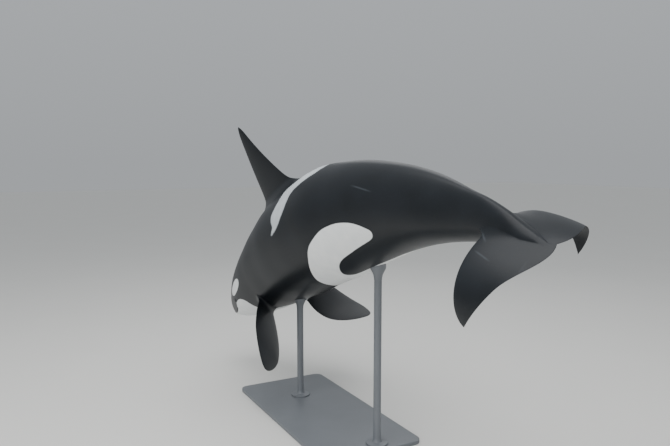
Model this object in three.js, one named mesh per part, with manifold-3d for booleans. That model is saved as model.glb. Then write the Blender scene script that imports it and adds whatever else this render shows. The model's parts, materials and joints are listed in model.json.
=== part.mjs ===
// A grown orca at life size, diving away with its back arched, on a plain display stand.
// Millimetres, +Z up and +X toward the head. The origin is the middle of the stand's underside.
import * as THREE from 'three';
import { mergeVertices } from 'three/addons/utils/BufferGeometryUtils.js';
import Module from 'manifold-3d';

const wasm = await Module();
wasm.setup();

// Driving dimensions
const bodyLength = 6000; // snout to fluke notch, along the spine
const partGap = 0.3; // between neighbouring pieces
const cutGap = 0.35; // swelling of a body length that trims the piece beside it

// Place and lie of the spine's middle, in degrees: turn to the left, climb, and bank to the left
const middlePlace = new THREE.Vector3(-350, 0, 2150);
const heading = -0.6;
const climb = -17;
const bank = 27.7;

// Bends in degrees over a whole body length, at even steps from the snout to the notch
const archBends = [16, 2, 55, 42, 54, -47];
const turnBends = [18, 36, 37, 20, 58, -27];
const twistBends = [0, 3, -2, -10, -19, 27];
const spineSteps = 240;

// Share of the length from the snout, then height above, depth below and half width there
const bodyStations = [
  [0.0, 150, 112, 150],
  [0.03, 200, 154, 200],
  [0.06, 270, 215, 258],
  [0.1, 359, 296, 353],
  [0.15, 444, 377, 428],
  [0.22, 521, 462, 489],
  [0.3, 582, 537, 537],
  [0.4, 623, 587, 570],
  [0.5, 620, 582, 545],
  [0.6, 552, 507, 455],
  [0.7, 452, 396, 350],
  [0.8, 332, 281, 259],
  [0.88, 228, 194, 142],
  [0.93, 165, 138, 103],
  [0.97, 68, 56, 72],
  [1.0, 8, 8, 18],
];
const snoutCap = 0.06; // share of the length over which the snout rounds off
const tailSink = 64; // drop of the stock's end into the flukes
const sinkStart = 0.9;
const roundSection = 2; // exponent of a plain ellipse
const stockSection = 1.5; // exponent of the keeled tail stock
const keelShares = [0.5, 0.92]; // where the keels begin and are full
const keelRidge = 0.04; // rounds the keels' ridges

// Lengths of the body between these shares
const headEnd = 0.17;
const torsoFrontEnd = 0.32;
const torsoMiddleEnd = 0.5;
const torsoRearEnd = 0.72;

// Mouth: corner, and the angle of its line down from the back, in degrees
const mouthCorner = 0.098;
const mouthAngleFront = 101;
const mouthAngleCorner = 92;
const mouthSag = 5;
const grooveDepth = 9;
const grooveWidth = 7;
const lipHeight = 5;
const lipOffset = 20;
const lipWidth = 13;
const lipRows = [4, 10, 20, 34]; // rows of faces beside the line
const fullLipRadius = 150; // body radius from which the rows keep their distances

// Eyes
const eyeShare = 0.111;
const eyeAngle = 81;
const eyeRadius = 27;
const eyeRise = 7; // the ball's crown above the plain skin
const lidOpening = [19, 12.5]; // half length and half height
const lidReach = [62, 48]; // where the lids' swelling ends
const lidHeight = 8;

// Blowhole: a crescent with its horns toward the snout
const blowholeShare = 0.104;
const blowholeReach = [58, 66];
const blowholeLip = 5;
const blowholeArc = 36; // radius of the crescent
const blowholeSpan = 62; // half its angle
const blowholeBore = 6;

// Dorsal fin
const dorsalFront = 0.339;
const dorsalRear = 0.469;
const dorsalHeight = 930;
const dorsalTipAft = 375; // from the front of the base
const dorsalLean = -4.7;
const dorsalFrontBow = 77;
const dorsalRearBow = 210;

// Flippers: root, size and directions in degrees
const flipperShare = 0.2035;
const flipperAngle = 127;
const flipperLength = 1150;
const flipperChord = 535;
const rootTaper = 3.2; // narrowing of the root inside the body
const flippers = {
  left: { side: 1, sweep: 35.8, droop: 39.3, feather: -51.6, curl: -14 },
  right: { side: -1, sweep: 7.5, droop: 101.2, feather: 86.8, curl: -61.5 },
};

// Flukes: half span and chord along the blade, and how each side hangs, in degrees
const flukeShare = 0.9255;
const flukeSpan = 853;
const flukeChord = 501;
const flukeTipAft = 152;
const flukeSweep = 1.79; // exponent of the front edge's curve
const flukeLobe = 60; // swelling beside the notch
const flukeLobeReach = 0.55; // share of the half span where the lobe ends
const flukeFullness = 50; // swelling of the whole rear edge
const flukePitch = 8.2;
const flukeRoll = -6;
const flukeYaw = 5;
const flukeDroop = 3.1;
const flukes = {
  left: { side: 1, skew: 6.3, curl: 111.5, sharpness: 2.05 },
  right: { side: -1, skew: 1.4, curl: 109.8, sharpness: 1.35 },
};

// Stand
const baseLength = 2300;
const baseWidth = 1100;
const baseThickness = 40;
const baseCorner = 90;
const baseEdge = 6;
const rodRadius = 38;
const rodFoot = 110;
const rodCup = 78;
const rods = {
  front: { along: 560, aside: 0, share: 0.296 },
  rear: { along: -1000, aside: -100, share: 0.593 },
};

// Colours
const slateBlack = { color: 0x15181c, roughness: 0.3, metalness: 0 };
const chinWhite = { color: 0xd9dcdb, roughness: 0.35, metalness: 0 };
const eyeBrown = { color: 0x1d120c, roughness: 0.08, metalness: 0 };
const paintedGrey = { color: 0x6d7176, roughness: 0.45, metalness: 0.2 };

const orca = new THREE.Group();

function addPart(name, geometry, finish) {
  const mesh = new THREE.Mesh(geometry, new THREE.MeshStandardMaterial(finish));
  mesh.name = name;
  orca.add(mesh);
}

const radians = THREE.MathUtils.degToRad;
const smoothStep = THREE.MathUtils.smoothstep;
const lerp = THREE.MathUtils.lerp;

function mixEven(values, share) {
  const x = THREE.MathUtils.clamp(share, 0, 1) * (values.length - 1);
  const i = Math.min(Math.floor(x), values.length - 2);
  return lerp(values[i], values[i + 1], x - i);
}

// Smooth curve through rows [x, y...] that never overshoots them
function curveThrough(rows, x, column) {
  const last = rows.length - 1;
  const at = THREE.MathUtils.clamp(x, rows[0][0], rows[last][0]);
  let i = 0;
  while (i < last - 1 && at > rows[i + 1][0]) i += 1;
  const slope = (k) => (rows[k + 1][column] - rows[k][column]) / (rows[k + 1][0] - rows[k][0]);
  const tangent = (k) => {
    if (k === 0) return slope(0);
    if (k === last) return slope(last - 1);
    const [before, after] = [slope(k - 1), slope(k)];
    return before * after > 0 ? (2 * before * after) / (before + after) : 0;
  };
  const width = rows[i + 1][0] - rows[i][0];
  const t = (at - rows[i][0]) / width;
  const start = rows[i][column] + t * width * tangent(i);
  const end = rows[i + 1][column] - (1 - t) * width * tangent(i + 1);
  const ease = t * t * (3 - 2 * t);
  return lerp(start, end, ease);
}

// Spine frames: x is forward, y the animal's left, z its back
function bendStep(share, length) {
  const rates = [twistBends, archBends, turnBends].map((bends) => radians(mixEven(bends, share)));
  const axis = new THREE.Vector3(...rates);
  const angle = axis.length() * length;
  return new THREE.Quaternion().setFromAxisAngle(axis.normalize(), angle);
}

function forward(turn) {
  return new THREE.Vector3(1, 0, 0).applyQuaternion(turn);
}

function traceSpine() {
  const order = 'ZYX';
  const lie = new THREE.Euler(radians(-bank), radians(-climb), radians(heading), order);
  const middle = { place: middlePlace.clone(), turn: new THREE.Quaternion().setFromEuler(lie) };
  const frames = [];
  const half = spineSteps / 2;
  frames[half] = middle;
  for (const way of [1, -1]) {
    for (let k = 0; k < half; k += 1) {
      const i = half - way * k;
      const share = (i - way / 2) / spineSteps;
      const last = frames[i];
      const turn = last.turn.clone().multiply(bendStep(share, way / spineSteps));
      const ahead = forward(last.turn).add(forward(turn));
      const place = last.place.clone().addScaledVector(ahead, (way * bodyLength) / spineSteps / 2);
      frames[i - way] = { place, turn };
    }
  }
  return frames;
}

const spine = traceSpine();

function spineFrame(share) {
  const x = THREE.MathUtils.clamp(share, 0, 1) * spineSteps;
  const i = Math.min(Math.floor(x), spineSteps - 1);
  const place = spine[i].place.clone().lerp(spine[i + 1].place, x - i);
  const turn = spine[i].turn.clone().slerp(spine[i + 1].turn, x - i);
  return { place, turn };
}

// Point at a share of the length, moved ahead, left and up from the spine
function fromSpine(share, ahead, left, up) {
  const { place, turn } = spineFrame(share);
  return new THREE.Vector3(ahead, left, up).applyQuaternion(turn).add(place);
}

function mouthAngle(share) {
  const t = THREE.MathUtils.clamp(share / mouthCorner, 0, 1);
  return lerp(mouthAngleFront, mouthAngleCorner, t) + mouthSag * Math.sin(Math.PI * t);
}

function bodySize(share) {
  const t = Math.min(Math.max(share, 0) / snoutCap, 1);
  const cap = Math.sqrt(1 - (1 - t) ** 2);
  const [above, below, width] = [1, 2, 3].map((column) => curveThrough(bodyStations, share, column));
  const keel = smoothStep(share, ...keelShares);
  const exponent = lerp(roundSection, stockSection, keel);
  return { above: above * cap, below: below * cap, width: width * cap, exponent };
}

const bump = (x) => Math.exp(-x * x);

// Height of the lips and depth of the mouth's line beside them
function mouthRelief(share, angle, size) {
  const reach = radians(Math.abs(angle) - mouthAngle(share)) * size.width;
  const fade = 1 - smoothStep(share, mouthCorner - 0.008, mouthCorner + 0.004);
  const tip = Math.min(1, size.width / fullLipRadius);
  const lips = bump((reach - lipOffset) / lipWidth) + bump((reach + lipOffset) / lipWidth);
  return fade * tip * (lipHeight * lips - grooveDepth * bump(reach / grooveWidth));
}

// Point on the skin: the angle runs from the back, positive to the left
function skinPoint(share, angle, swell = 0) {
  const size = bodySize(share);
  const turn = radians(angle);
  const power = (2 / size.exponent - 1) / 2;
  const rounded = (value) => value * ((value ** 2 + keelRidge) / (1 + keelRidge)) ** power;
  const up = rounded(Math.cos(turn));
  const left = rounded(Math.sin(turn));
  const grow = swell + mouthRelief(share, angle, size);
  const height = up > 0 ? size.above : size.below;
  const outward = new THREE.Vector2(left * size.width, up * height);
  const flat = new THREE.Vector2(left / Math.max(size.width, 1), up / Math.max(height, 1)).normalize();
  outward.addScaledVector(flat, grow);
  const sink = tailSink * THREE.MathUtils.clamp((share - sinkStart) / (1 - sinkStart), 0, 1) ** 1.6;
  return fromSpine(share, 0, outward.x, outward.y - sink);
}

// Frame on the skin: x toward the snout, z outward
function skinFrame(share, angle) {
  const nudge = 0.002;
  const turnNudge = 0.5;
  const place = skinPoint(share, angle);
  const ahead = skinPoint(share - nudge, angle).sub(skinPoint(share + nudge, angle)).normalize();
  const round = skinPoint(share, angle + turnNudge).sub(skinPoint(share, angle - turnNudge));
  const outward = ahead.clone().cross(round).normalize();
  const side = outward.clone().cross(ahead);
  return new THREE.Matrix4().makeBasis(ahead, side, outward).setPosition(place);
}

// Closed solids from rows of points
function closedGeometry(points, faces) {
  const geometry = new THREE.BufferGeometry();
  const positions = points.flatMap((point) => [point.x, point.y, point.z]);
  geometry.setAttribute('position', new THREE.Float32BufferAttribute(positions, 3));
  geometry.setIndex(faces.flat());
  return geometry;
}

// Rows of rings joined in order, with a fan over each end
function loft(rings, mirrored = false) {
  const count = rings[0].length;
  const points = rings.flat();
  const faces = [];
  for (let i = 0; i + 1 < rings.length; i += 1) {
    for (let j = 0; j < count; j += 1) {
      const [a, b] = [i * count + j, i * count + ((j + 1) % count)];
      const [c, d] = [b + count, a + count];
      const flip = mirrored && j >= count / 2;
      faces.push(...(flip ? [[a, b, d], [b, c, d]] : [[a, b, c], [a, c, d]]));
    }
  }
  for (const [start, order] of [[0, 1], [points.length - count, -1]]) {
    const middle = points.slice(start, start + count).reduce((sum, p) => sum.add(p), new THREE.Vector3());
    const hub = points.push(middle.divideScalar(count)) - 1;
    for (let j = 0; j < count; j += 1) {
      const pair = [start + j, start + ((j + 1) % count)];
      faces.push(order > 0 ? [hub, pair[1], pair[0]] : [hub, pair[0], pair[1]]);
    }
  }
  return closedGeometry(points, faces);
}

function solidFrom(geometry) {
  const bare = geometry.clone();
  bare.deleteAttribute('normal');
  bare.deleteAttribute('uv');
  const merged = mergeVertices(bare, 1e-4);
  const vertProperties = new Float32Array(merged.attributes.position.array);
  const triVerts = new Uint32Array(merged.index.array);
  const solid = new wasm.Manifold(new wasm.Mesh({ numProp: 3, vertProperties, triVerts }));
  if (solid.volume() > 0) return solid;
  for (let i = 0; i < triVerts.length; i += 3) {
    [triVerts[i + 1], triVerts[i + 2]] = [triVerts[i + 2], triVerts[i + 1]];
  }
  return new wasm.Manifold(new wasm.Mesh({ numProp: 3, vertProperties, triVerts }));
}

// The largest closed surface of a solid
function geometryFrom(solid) {
  const pieces = solid.decompose();
  const largest = pieces.reduce((best, piece) => (piece.volume() > best.volume() ? piece : best));
  const { vertProperties, triVerts } = largest.getMesh();
  const geometry = new THREE.BufferGeometry();
  geometry.setAttribute('position', new THREE.Float32BufferAttribute(vertProperties, 3));
  geometry.setIndex(Array.from(triVerts));
  return geometry;
}

// Lengths of the body
function evenShares(from, to, steps) {
  return Array.from({ length: steps + 1 }, (_, i) => lerp(from, to, i / steps));
}

function ringAngles(half) {
  const right = half.slice(1, -1).reverse().map((angle) => -angle);
  return [...half, ...right];
}

function bodyLoft(shares, anglesAt, swell = 0) {
  const rings = shares.map((share) => anglesAt(share).map((angle) => skinPoint(share, angle, swell)));
  return solidFrom(loft(rings));
}

const torsoHalf = evenShares(0, 180, 18);
const torsoAngles = () => ringAngles(torsoHalf);
const halfGap = partGap / 2 / bodyLength;

function torsoShares(from, to, steps) {
  return evenShares(from + halfGap, to - halfGap, steps);
}

const torsoSpans = {
  torso_front: torsoShares(headEnd, torsoFrontEnd, 9),
  torso_middle: torsoShares(torsoFrontEnd, torsoMiddleEnd, 10),
  torso_rear: torsoShares(torsoMiddleEnd, torsoRearEnd, 12),
  tail_stock: torsoShares(torsoRearEnd, 1, 15),
};

function torsoSolid(name, swell) {
  return bodyLoft(torsoSpans[name], torsoAngles, swell);
}

// Rows of the head's rings draw close beside the mouth's line
function headAngles(share) {
  const line = mouthAngle(share);
  const { width } = bodySize(share);
  const tip = Math.min(1, width / fullLipRadius);
  const offsets = lipRows.map((row) => THREE.MathUtils.radToDeg((row * tip) / Math.max(width, 1)));
  const widest = offsets[offsets.length - 1];
  const above = evenShares(0, line - widest, 9);
  const below = evenShares(line + widest, 180, 7);
  const near = offsets.slice(0, -1);
  const beside = [...near.map((o) => line - o).reverse(), line, ...near.map((o) => line + o)];
  return ringAngles([...above, ...beside, ...below]);
}

function headShares() {
  const tip = 0.0004;
  const steps = 24;
  return evenShares(0, 1, steps).map((t) => lerp(tip, headEnd - halfGap, t ** 1.5));
}

// Everything below the mouth's line and ahead of its corner
function jawRegion(rise, back) {
  const reach = 1.6;
  const shares = evenShares(0, 1, 16).map((t) => lerp(0.0002, mouthCorner + back, t ** 1.5));
  const rings = shares.map((share) => {
    const size = bodySize(share);
    const angle = radians(mouthAngle(share));
    const left = size.width * Math.sin(angle) * reach;
    const up = size.below * Math.cos(angle) + rise;
    const low = -size.below * reach - 40;
    const corners = [[left, up], [-left, up], [-left, low], [left, low]];
    return corners.map(([x, y]) => fromSpine(share, share < 0.001 ? 60 : 0, x, y));
  });
  return solidFrom(loft(rings));
}

// A low swelling of the skin, its height told from its middle to its edge
function swelling(share, angle, reach, heightAt) {
  const sides = 22;
  const radii = [0.2, 0.36, 0.54, 0.74, 1];
  const depth = 30;
  const size = bodySize(share);
  const radius = (size.width + size.above) / 2;
  const ring = (scale, height) => Array.from({ length: sides }, (_, i) => {
    const turn = (2 * Math.PI * i) / sides;
    const ahead = reach[0] * scale * Math.cos(turn);
    const round = reach[1] * scale * Math.sin(turn);
    const at = [share - ahead / bodyLength, angle + THREE.MathUtils.radToDeg(round / radius)];
    const outward = new THREE.Vector3().setFromMatrixColumn(skinFrame(...at), 2);
    return skinPoint(...at).addScaledVector(outward, height);
  });
  const top = radii.map((scale) => ring(scale, heightAt(scale)));
  return solidFrom(loft([...top, ring(1, -depth), ring(radii[0], -depth)]));
}

// A tube along a curve through points, with six sides
function tubeAlong(points, radius) {
  const path = new THREE.CatmullRomCurve3(points);
  const section = new THREE.Shape().absarc(0, 0, radius, 0, 2 * Math.PI);
  const steps = points.length + 2;
  const options = { extrudePath: path, steps, curveSegments: 3, bevelEnabled: false };
  return solidFrom(new THREE.ExtrudeGeometry(section, options));
}

function ball(centre, radius) {
  const geometry = new THREE.SphereGeometry(radius, 18, 12);
  geometry.translate(centre.x, centre.y, centre.z);
  return solidFrom(geometry);
}

function eyeCentre(side) {
  return new THREE.Vector3(0, 0, eyeRise - eyeRadius).applyMatrix4(skinFrame(eyeShare, side * eyeAngle));
}

// The opening between the lids, as a cutter from outside down to the ball
function lidCutter(side) {
  const [long, high] = lidOpening;
  const opening = new THREE.Shape().absellipse(0, 0, long, high, 0, 2 * Math.PI);
  const options = { depth: eyeRadius + 20, curveSegments: 8, bevelEnabled: false };
  const geometry = new THREE.ExtrudeGeometry(opening, options);
  geometry.translate(0, 0, eyeRise - eyeRadius);
  return solidFrom(geometry.applyMatrix4(skinFrame(eyeShare, side * eyeAngle)));
}

const lidShape = (scale) => lidHeight * bump((scale - 0.36) / 0.3) - (scale === 1 ? 4 : 0);
const blowholeShape = (scale) => blowholeLip * bump((scale - 0.5) / 0.3) - (scale === 1 ? 4 : 0);

function blowholeCutter() {
  const frame = skinFrame(blowholeShare, 0);
  const points = evenShares(-blowholeSpan, blowholeSpan, 8).map((angle) => {
    const [ahead, side] = [Math.cos(radians(angle)), Math.sin(radians(angle))];
    return new THREE.Vector3(blowholeArc * (0.5 - ahead), blowholeArc * side, 2).applyMatrix4(frame);
  });
  return tubeAlong(points, blowholeBore);
}

function buildHead() {
  let whole = bodyLoft(headShares(), headAngles);
  whole = whole.add(swelling(blowholeShare, 0, blowholeReach, blowholeShape)).subtract(blowholeCutter());
  for (const side of [1, -1]) {
    whole = whole.add(swelling(eyeShare, side * eyeAngle, lidReach, lidShape));
    whole = whole.subtract(ball(eyeCentre(side), eyeRadius + partGap)).subtract(lidCutter(side));
  }
  addPart('head', geometryFrom(whole.subtract(jawRegion(partGap / 2, partGap / bodyLength))), slateBlack);
  addPart('lower_jaw', geometryFrom(whole.intersect(jawRegion(-partGap / 2, 0))), chinWhite);
  for (const [name, side] of [['left', 1], ['right', -1]]) {
    addPart(`eye_${name}`, geometryFrom(ball(eyeCentre(side), eyeRadius)), eyeBrown);
  }
}

function buildTorso() {
  for (const name of Object.keys(torsoSpans)) {
    addPart(name, geometryFrom(torsoSolid(name)), slateBlack);
  }
}

// Height of a thin blade's section beside its middle, at a share of the chord
function bladeSection(t) {
  const nose = Math.sqrt(Math.max(t, 0));
  return 1.45 * nose * (1 - t) ** 0.85 * (1 + 0.35 * t);
}

// Closed rings of a blade: each row tells its front, rear and thickness, and place() bends it
function bladeSolid(rows, place) {
  const steps = 8;
  const edge = 0.02;
  const chords = evenShares(0, 1, steps).map((t) => (1 - Math.cos(Math.PI * t)) / 2);
  const rings = rows.map(({ reach, front, rear, thick }) => {
    const half = (t) => Math.max(thick * 0.5 * bladeSection(t), thick * edge);
    const top = chords.map((t) => place(lerp(front, rear, t), reach, half(t)));
    const under = chords.map((t) => place(lerp(front, rear, t), reach, -half(t))).reverse();
    return [...top, ...under];
  });
  return solidFrom(loft(rings, true));
}

// Rounds a blade's tip off, from a share of its span
function tipRounding(e, from) {
  const t = Math.max(0, (e - from) / (1 - from));
  return Math.sqrt(Math.max(1 - t * t, 0.002));
}

// Shares of a blade's span, closer near the tip, the first one inside the body
function bladeShares(inside, steps) {
  return [-inside, ...evenShares(0, 1, steps).map((t) => 1 - (1 - t) ** 1.35)];
}

function pinched(front, rear, round) {
  const middle = (front + rear) / 2;
  return { front: lerp(middle, front, round), rear: lerp(middle, rear, round) };
}

function trimmed(solid, name) {
  return geometryFrom(solid.subtract(torsoSolid(name, cutGap)));
}

function buildDorsalFin() {
  const base = (dorsalRear - dorsalFront) * bodyLength;
  const frontFoot = skinPoint(dorsalFront, 0);
  const rearFoot = skinPoint(dorsalRear, 0);
  const { turn } = spineFrame((dorsalFront + dorsalRear) / 2);
  const lean = radians(dorsalLean);
  const up = new THREE.Vector3(0, Math.sin(lean), Math.cos(lean)).applyQuaternion(turn);
  const aft = rearFoot.clone().sub(frontFoot).normalize();
  const side = up.clone().cross(aft).normalize();
  const rise = aft.clone().cross(side).normalize();
  const rows = bladeShares(0.2, 14).map((e) => {
    const flare = e < 0 ? 1 : bump(e / 0.1);
    const front = dorsalTipAft * 0.86 * e - dorsalFrontBow * e * (1 - e) - 40 * flare;
    const rear = base + (dorsalTipAft * 1.06 - base) * e - dorsalRearBow * e * (1 - e) + 50 * flare;
    const thick = lerp(120, 26, Math.max(e, 0) ** 0.8) + 50 * flare;
    const round = tipRounding(e, 0.88);
    return { reach: dorsalHeight * e, ...pinched(front, rear, round), thick: thick * round };
  });
  const place = (x, reach, half) => frontFoot.clone()
    .addScaledVector(aft, x).addScaledVector(rise, reach).addScaledVector(side, half);
  addPart('dorsal_fin', trimmed(bladeSolid(rows, place), 'torso_middle'), slateBlack);
}

// Sum of small steps along an arc that bends evenly, as a share of its length
function arcReach(e, curl) {
  const turn = radians(curl) * e;
  if (Math.abs(turn) < 1e-6) return [e, 0];
  return [Math.sin(turn) / radians(curl), (1 - Math.cos(turn)) / radians(curl)];
}

function buildFlipper(name, { side, sweep, droop, feather, curl }) {
  const root = skinPoint(flipperShare, side * flipperAngle);
  const { turn } = spineFrame(flipperShare);
  const [back, down] = [radians(sweep), radians(droop)];
  const along = new THREE.Vector3(
    -Math.sin(back),
    side * Math.cos(down) * Math.cos(back),
    -Math.sin(down) * Math.cos(back),
  );
  const level = new THREE.Vector3(1, 0, 0).addScaledVector(along, Math.sin(back)).normalize();
  const upper = level.clone().cross(along).multiplyScalar(side);
  const tilt = radians(feather);
  const lead = level.clone().multiplyScalar(Math.cos(tilt)).addScaledVector(upper, Math.sin(tilt));
  const face = upper.clone().multiplyScalar(Math.cos(tilt)).addScaledVector(level, -Math.sin(tilt));
  for (const axis of [along, lead, face]) axis.applyQuaternion(turn);
  const rows = bladeShares(0.22, 14).map((e) => {
    const flare = e < 0 ? 1 : bump(e / 0.12);
    const full = Math.sin(Math.PI * Math.min(Math.max(e, 0), 1) * 0.92);
    const front = -flipperChord * (0.3 + 0.2 * full);
    const rear = flipperChord * (0.3 + 0.25 * full);
    const thick = lerp(95, 26, Math.max(e, 0)) + 45 * flare;
    const round = tipRounding(e, 0.62) * (1 + rootTaper * Math.min(e, 0));
    return { reach: e, front: front * round, rear: rear * round, thick: thick * Math.sqrt(round) };
  });
  const place = (x, reach, half) => {
    const [out, bend] = arcReach(reach, curl);
    const turned = radians(curl) * reach;
    return root.clone()
      .addScaledVector(along, flipperLength * out + half * Math.sin(turned))
      .addScaledVector(face, half * Math.cos(turned) - flipperLength * bend)
      .addScaledVector(lead, -x);
  };
  addPart(`flipper_${name}`, trimmed(bladeSolid(rows, place), 'torso_front'), slateBlack);
}

// Bend of a fluke: how far out and down a point lies, from its share along the bend
function flukeBend(reach, curl, sharpness) {
  const steps = 40;
  let [out, down] = [0, 0];
  const angleAt = (t) => radians(flukeDroop) + radians(curl) * t ** sharpness;
  for (let k = 0; k < steps; k += 1) {
    const angle = angleAt((reach * (k + 0.5)) / steps);
    out += (Math.cos(angle) * reach) / steps;
    down += (Math.sin(angle) * reach) / steps;
  }
  return { out, down, angle: angleAt(reach) };
}

function flukeTurn() {
  const { place, turn } = spineFrame(flukeShare);
  const lie = new THREE.Euler(radians(flukeRoll), radians(-flukePitch), radians(flukeYaw), 'ZYX');
  return { place, turn: turn.multiply(new THREE.Quaternion().setFromEuler(lie)) };
}

// Block that holds one side of the tail, up to half a gap from the middle
function flukeSide(side) {
  const { place, turn } = flukeTurn();
  const size = 2 * bodyLength;
  const block = new THREE.BoxGeometry(size, size, size).translate(0, (side * (size + partGap)) / 2, 0);
  return solidFrom(block.applyQuaternion(turn).translate(place.x, place.y, place.z));
}

function buildFluke(name, { side, skew, curl, sharpness }) {
  const { place: root, turn } = flukeTurn();
  const bias = radians(skew);
  const span = flukeSpan * Math.cos(bias) + flukeTipAft * Math.sin(bias);
  const rows = [-0.05, ...evenShares(0, 1, 17)].map((station) => {
    const e = Math.max(station, 0);
    const front = -24 + (flukeTipAft + 24) * e ** flukeSweep;
    const inner = Math.min(e / flukeLobeReach, 1);
    const lobe = flukeLobe * 6.75 * inner * (1 - inner) ** 2;
    const rear = lerp(flukeChord, flukeTipAft, e) + lobe + flukeFullness * Math.sin(Math.PI * e);
    const round = tipRounding(e, 0.94);
    const thick = lerp(78, 12, e ** 0.7);
    return { reach: flukeSpan * station, ...pinched(front, rear, round), thick: thick * round };
  });
  const middle = flukeChord / 2;
  const place = (x, reach, half) => {
    const across = reach * Math.cos(bias) + (x - middle) * Math.sin(bias);
    const along = (x - middle) * Math.cos(bias) - reach * Math.sin(bias);
    const { out, down, angle } = flukeBend(Math.max(across, 0) / span, curl, sharpness);
    const inner = Math.min(across, 0);
    const far = out * span + inner + half * Math.sin(angle);
    const aft = along * Math.cos(bias) + far * Math.sin(bias) + middle;
    const left = -along * Math.sin(bias) + far * Math.cos(bias);
    const up = half * Math.cos(angle) - down * span;
    return new THREE.Vector3(-aft, side * left, up).applyQuaternion(turn).add(root);
  };
  const own = bladeSolid(rows, place).intersect(flukeSide(side));
  addPart(`fluke_${name}`, trimmed(own, 'tail_stock'), slateBlack);
}

function roundedPlate(length, width, thickness, corner, edge) {
  const [x, y] = [length / 2, width / 2];
  const plate = new THREE.Shape();
  plate.absarc(x - corner, y - corner, corner - edge, 0, Math.PI / 2);
  plate.absarc(corner - x, y - corner, corner - edge, Math.PI / 2, Math.PI);
  plate.absarc(corner - x, corner - y, corner - edge, Math.PI, Math.PI * 1.5);
  plate.absarc(x - corner, corner - y, corner - edge, Math.PI * 1.5, Math.PI * 2);
  const bevel = { bevelThickness: edge, bevelSize: edge, bevelSegments: 1 };
  const options = { depth: thickness - 2 * edge, curveSegments: 4, ...bevel };
  return new THREE.ExtrudeGeometry(plate, options).translate(0, 0, edge);
}

// A turned rod with a foot and a cup, rising into the body that trims it
function buildRod(name, { along, aside, share }) {
  const foot = baseThickness + partGap;
  const { place } = spineFrame(share);
  const low = skinPoint(share, 180).z;
  const cup = Math.min(low, place.z) + 60;
  const profile = [
    [0, foot], [rodFoot, foot], [rodFoot, foot + 14], [rodRadius + 14, foot + 22], [rodRadius, foot + 60],
    [rodRadius, cup - 230], [rodRadius + 10, cup - 170], [rodCup, cup - 110], [rodCup, place.z], [0, place.z],
  ];
  const rod = new THREE.LatheGeometry(profile.map(([x, z]) => new THREE.Vector2(x, z)), 20);
  rod.rotateX(Math.PI / 2).translate(along, aside, 0);
  const near = share < torsoFrontEnd ? 'torso_front' : 'torso_rear';
  addPart(`stand_rod_${name}`, trimmed(solidFrom(rod), near), paintedGrey);
}

function buildStand() {
  const plate = roundedPlate(baseLength, baseWidth, baseThickness, baseCorner, baseEdge);
  addPart('stand_base', geometryFrom(solidFrom(plate)), paintedGrey);
  for (const [name, rod] of Object.entries(rods)) buildRod(name, rod);
}

buildHead();
buildTorso();
buildDorsalFin();
for (const [name, flipper] of Object.entries(flippers)) buildFlipper(name, flipper);
for (const [name, fluke] of Object.entries(flukes)) buildFluke(name, fluke);
buildStand();

export default orca;
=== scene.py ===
import json
import math

import bpy
import numpy as np
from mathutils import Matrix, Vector

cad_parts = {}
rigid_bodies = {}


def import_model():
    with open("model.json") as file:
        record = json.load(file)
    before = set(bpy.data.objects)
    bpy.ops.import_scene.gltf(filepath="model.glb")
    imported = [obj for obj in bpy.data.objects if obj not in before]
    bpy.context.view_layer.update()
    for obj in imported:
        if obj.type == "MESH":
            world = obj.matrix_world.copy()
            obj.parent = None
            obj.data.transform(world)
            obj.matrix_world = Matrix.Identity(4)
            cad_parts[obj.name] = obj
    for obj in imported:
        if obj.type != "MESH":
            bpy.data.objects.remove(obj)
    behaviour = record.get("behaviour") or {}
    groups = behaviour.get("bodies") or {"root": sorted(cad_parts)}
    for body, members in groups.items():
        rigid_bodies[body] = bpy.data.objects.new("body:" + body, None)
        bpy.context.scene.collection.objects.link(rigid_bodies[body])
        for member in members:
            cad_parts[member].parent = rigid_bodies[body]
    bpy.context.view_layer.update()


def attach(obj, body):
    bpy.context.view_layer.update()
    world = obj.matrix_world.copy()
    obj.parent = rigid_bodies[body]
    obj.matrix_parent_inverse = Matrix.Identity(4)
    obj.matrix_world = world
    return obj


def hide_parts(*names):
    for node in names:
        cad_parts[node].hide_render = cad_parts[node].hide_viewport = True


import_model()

bl_info = {
    "name": "Orca on a display stand",
    "version": (1, 0, 0),
    "blender": (4, 5, 0),
    "location": "3D View > Sidebar > Orca",
    "description": "A grown orca at life size, diving away with its back arched",
    "category": "Add Mesh",
}

# Metres and degrees. +Z is up and +X toward the head.
MIDDLE_PLACE = np.array([-0.35, 0.0, 2.15])
HEADING, CLIMB, BANK = -0.6, -17.0, 27.7

# Bends in degrees over a whole body length, at even steps from the snout to the notch
ARCH_BENDS = [16, 2, 55, 42, 54, -47]
TURN_BENDS = [18, 36, 37, 20, 58, -27]
TWIST_BENDS = [0, 3, -2, -10, -19, 27]
SPINE_STEPS = 240

# Share of the length from the snout, then height above, depth below and half width there
BODY_STATIONS = np.array([
    [0.0, 0.150, 0.112, 0.150],
    [0.03, 0.200, 0.154, 0.200],
    [0.06, 0.270, 0.215, 0.258],
    [0.1, 0.359, 0.296, 0.353],
    [0.15, 0.444, 0.377, 0.428],
    [0.22, 0.521, 0.462, 0.489],
    [0.3, 0.582, 0.537, 0.537],
    [0.4, 0.623, 0.587, 0.570],
    [0.5, 0.620, 0.582, 0.545],
    [0.6, 0.552, 0.507, 0.455],
    [0.7, 0.452, 0.396, 0.350],
    [0.8, 0.332, 0.281, 0.259],
    [0.88, 0.228, 0.194, 0.142],
    [0.93, 0.165, 0.138, 0.103],
    [0.97, 0.068, 0.056, 0.072],
    [1.0, 0.008, 0.008, 0.018],
])
# Steps of the table of sizes, and how many of them each size is eased over, each way
SIZE_STEPS, EASE_STEPS = 4000, 160
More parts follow.
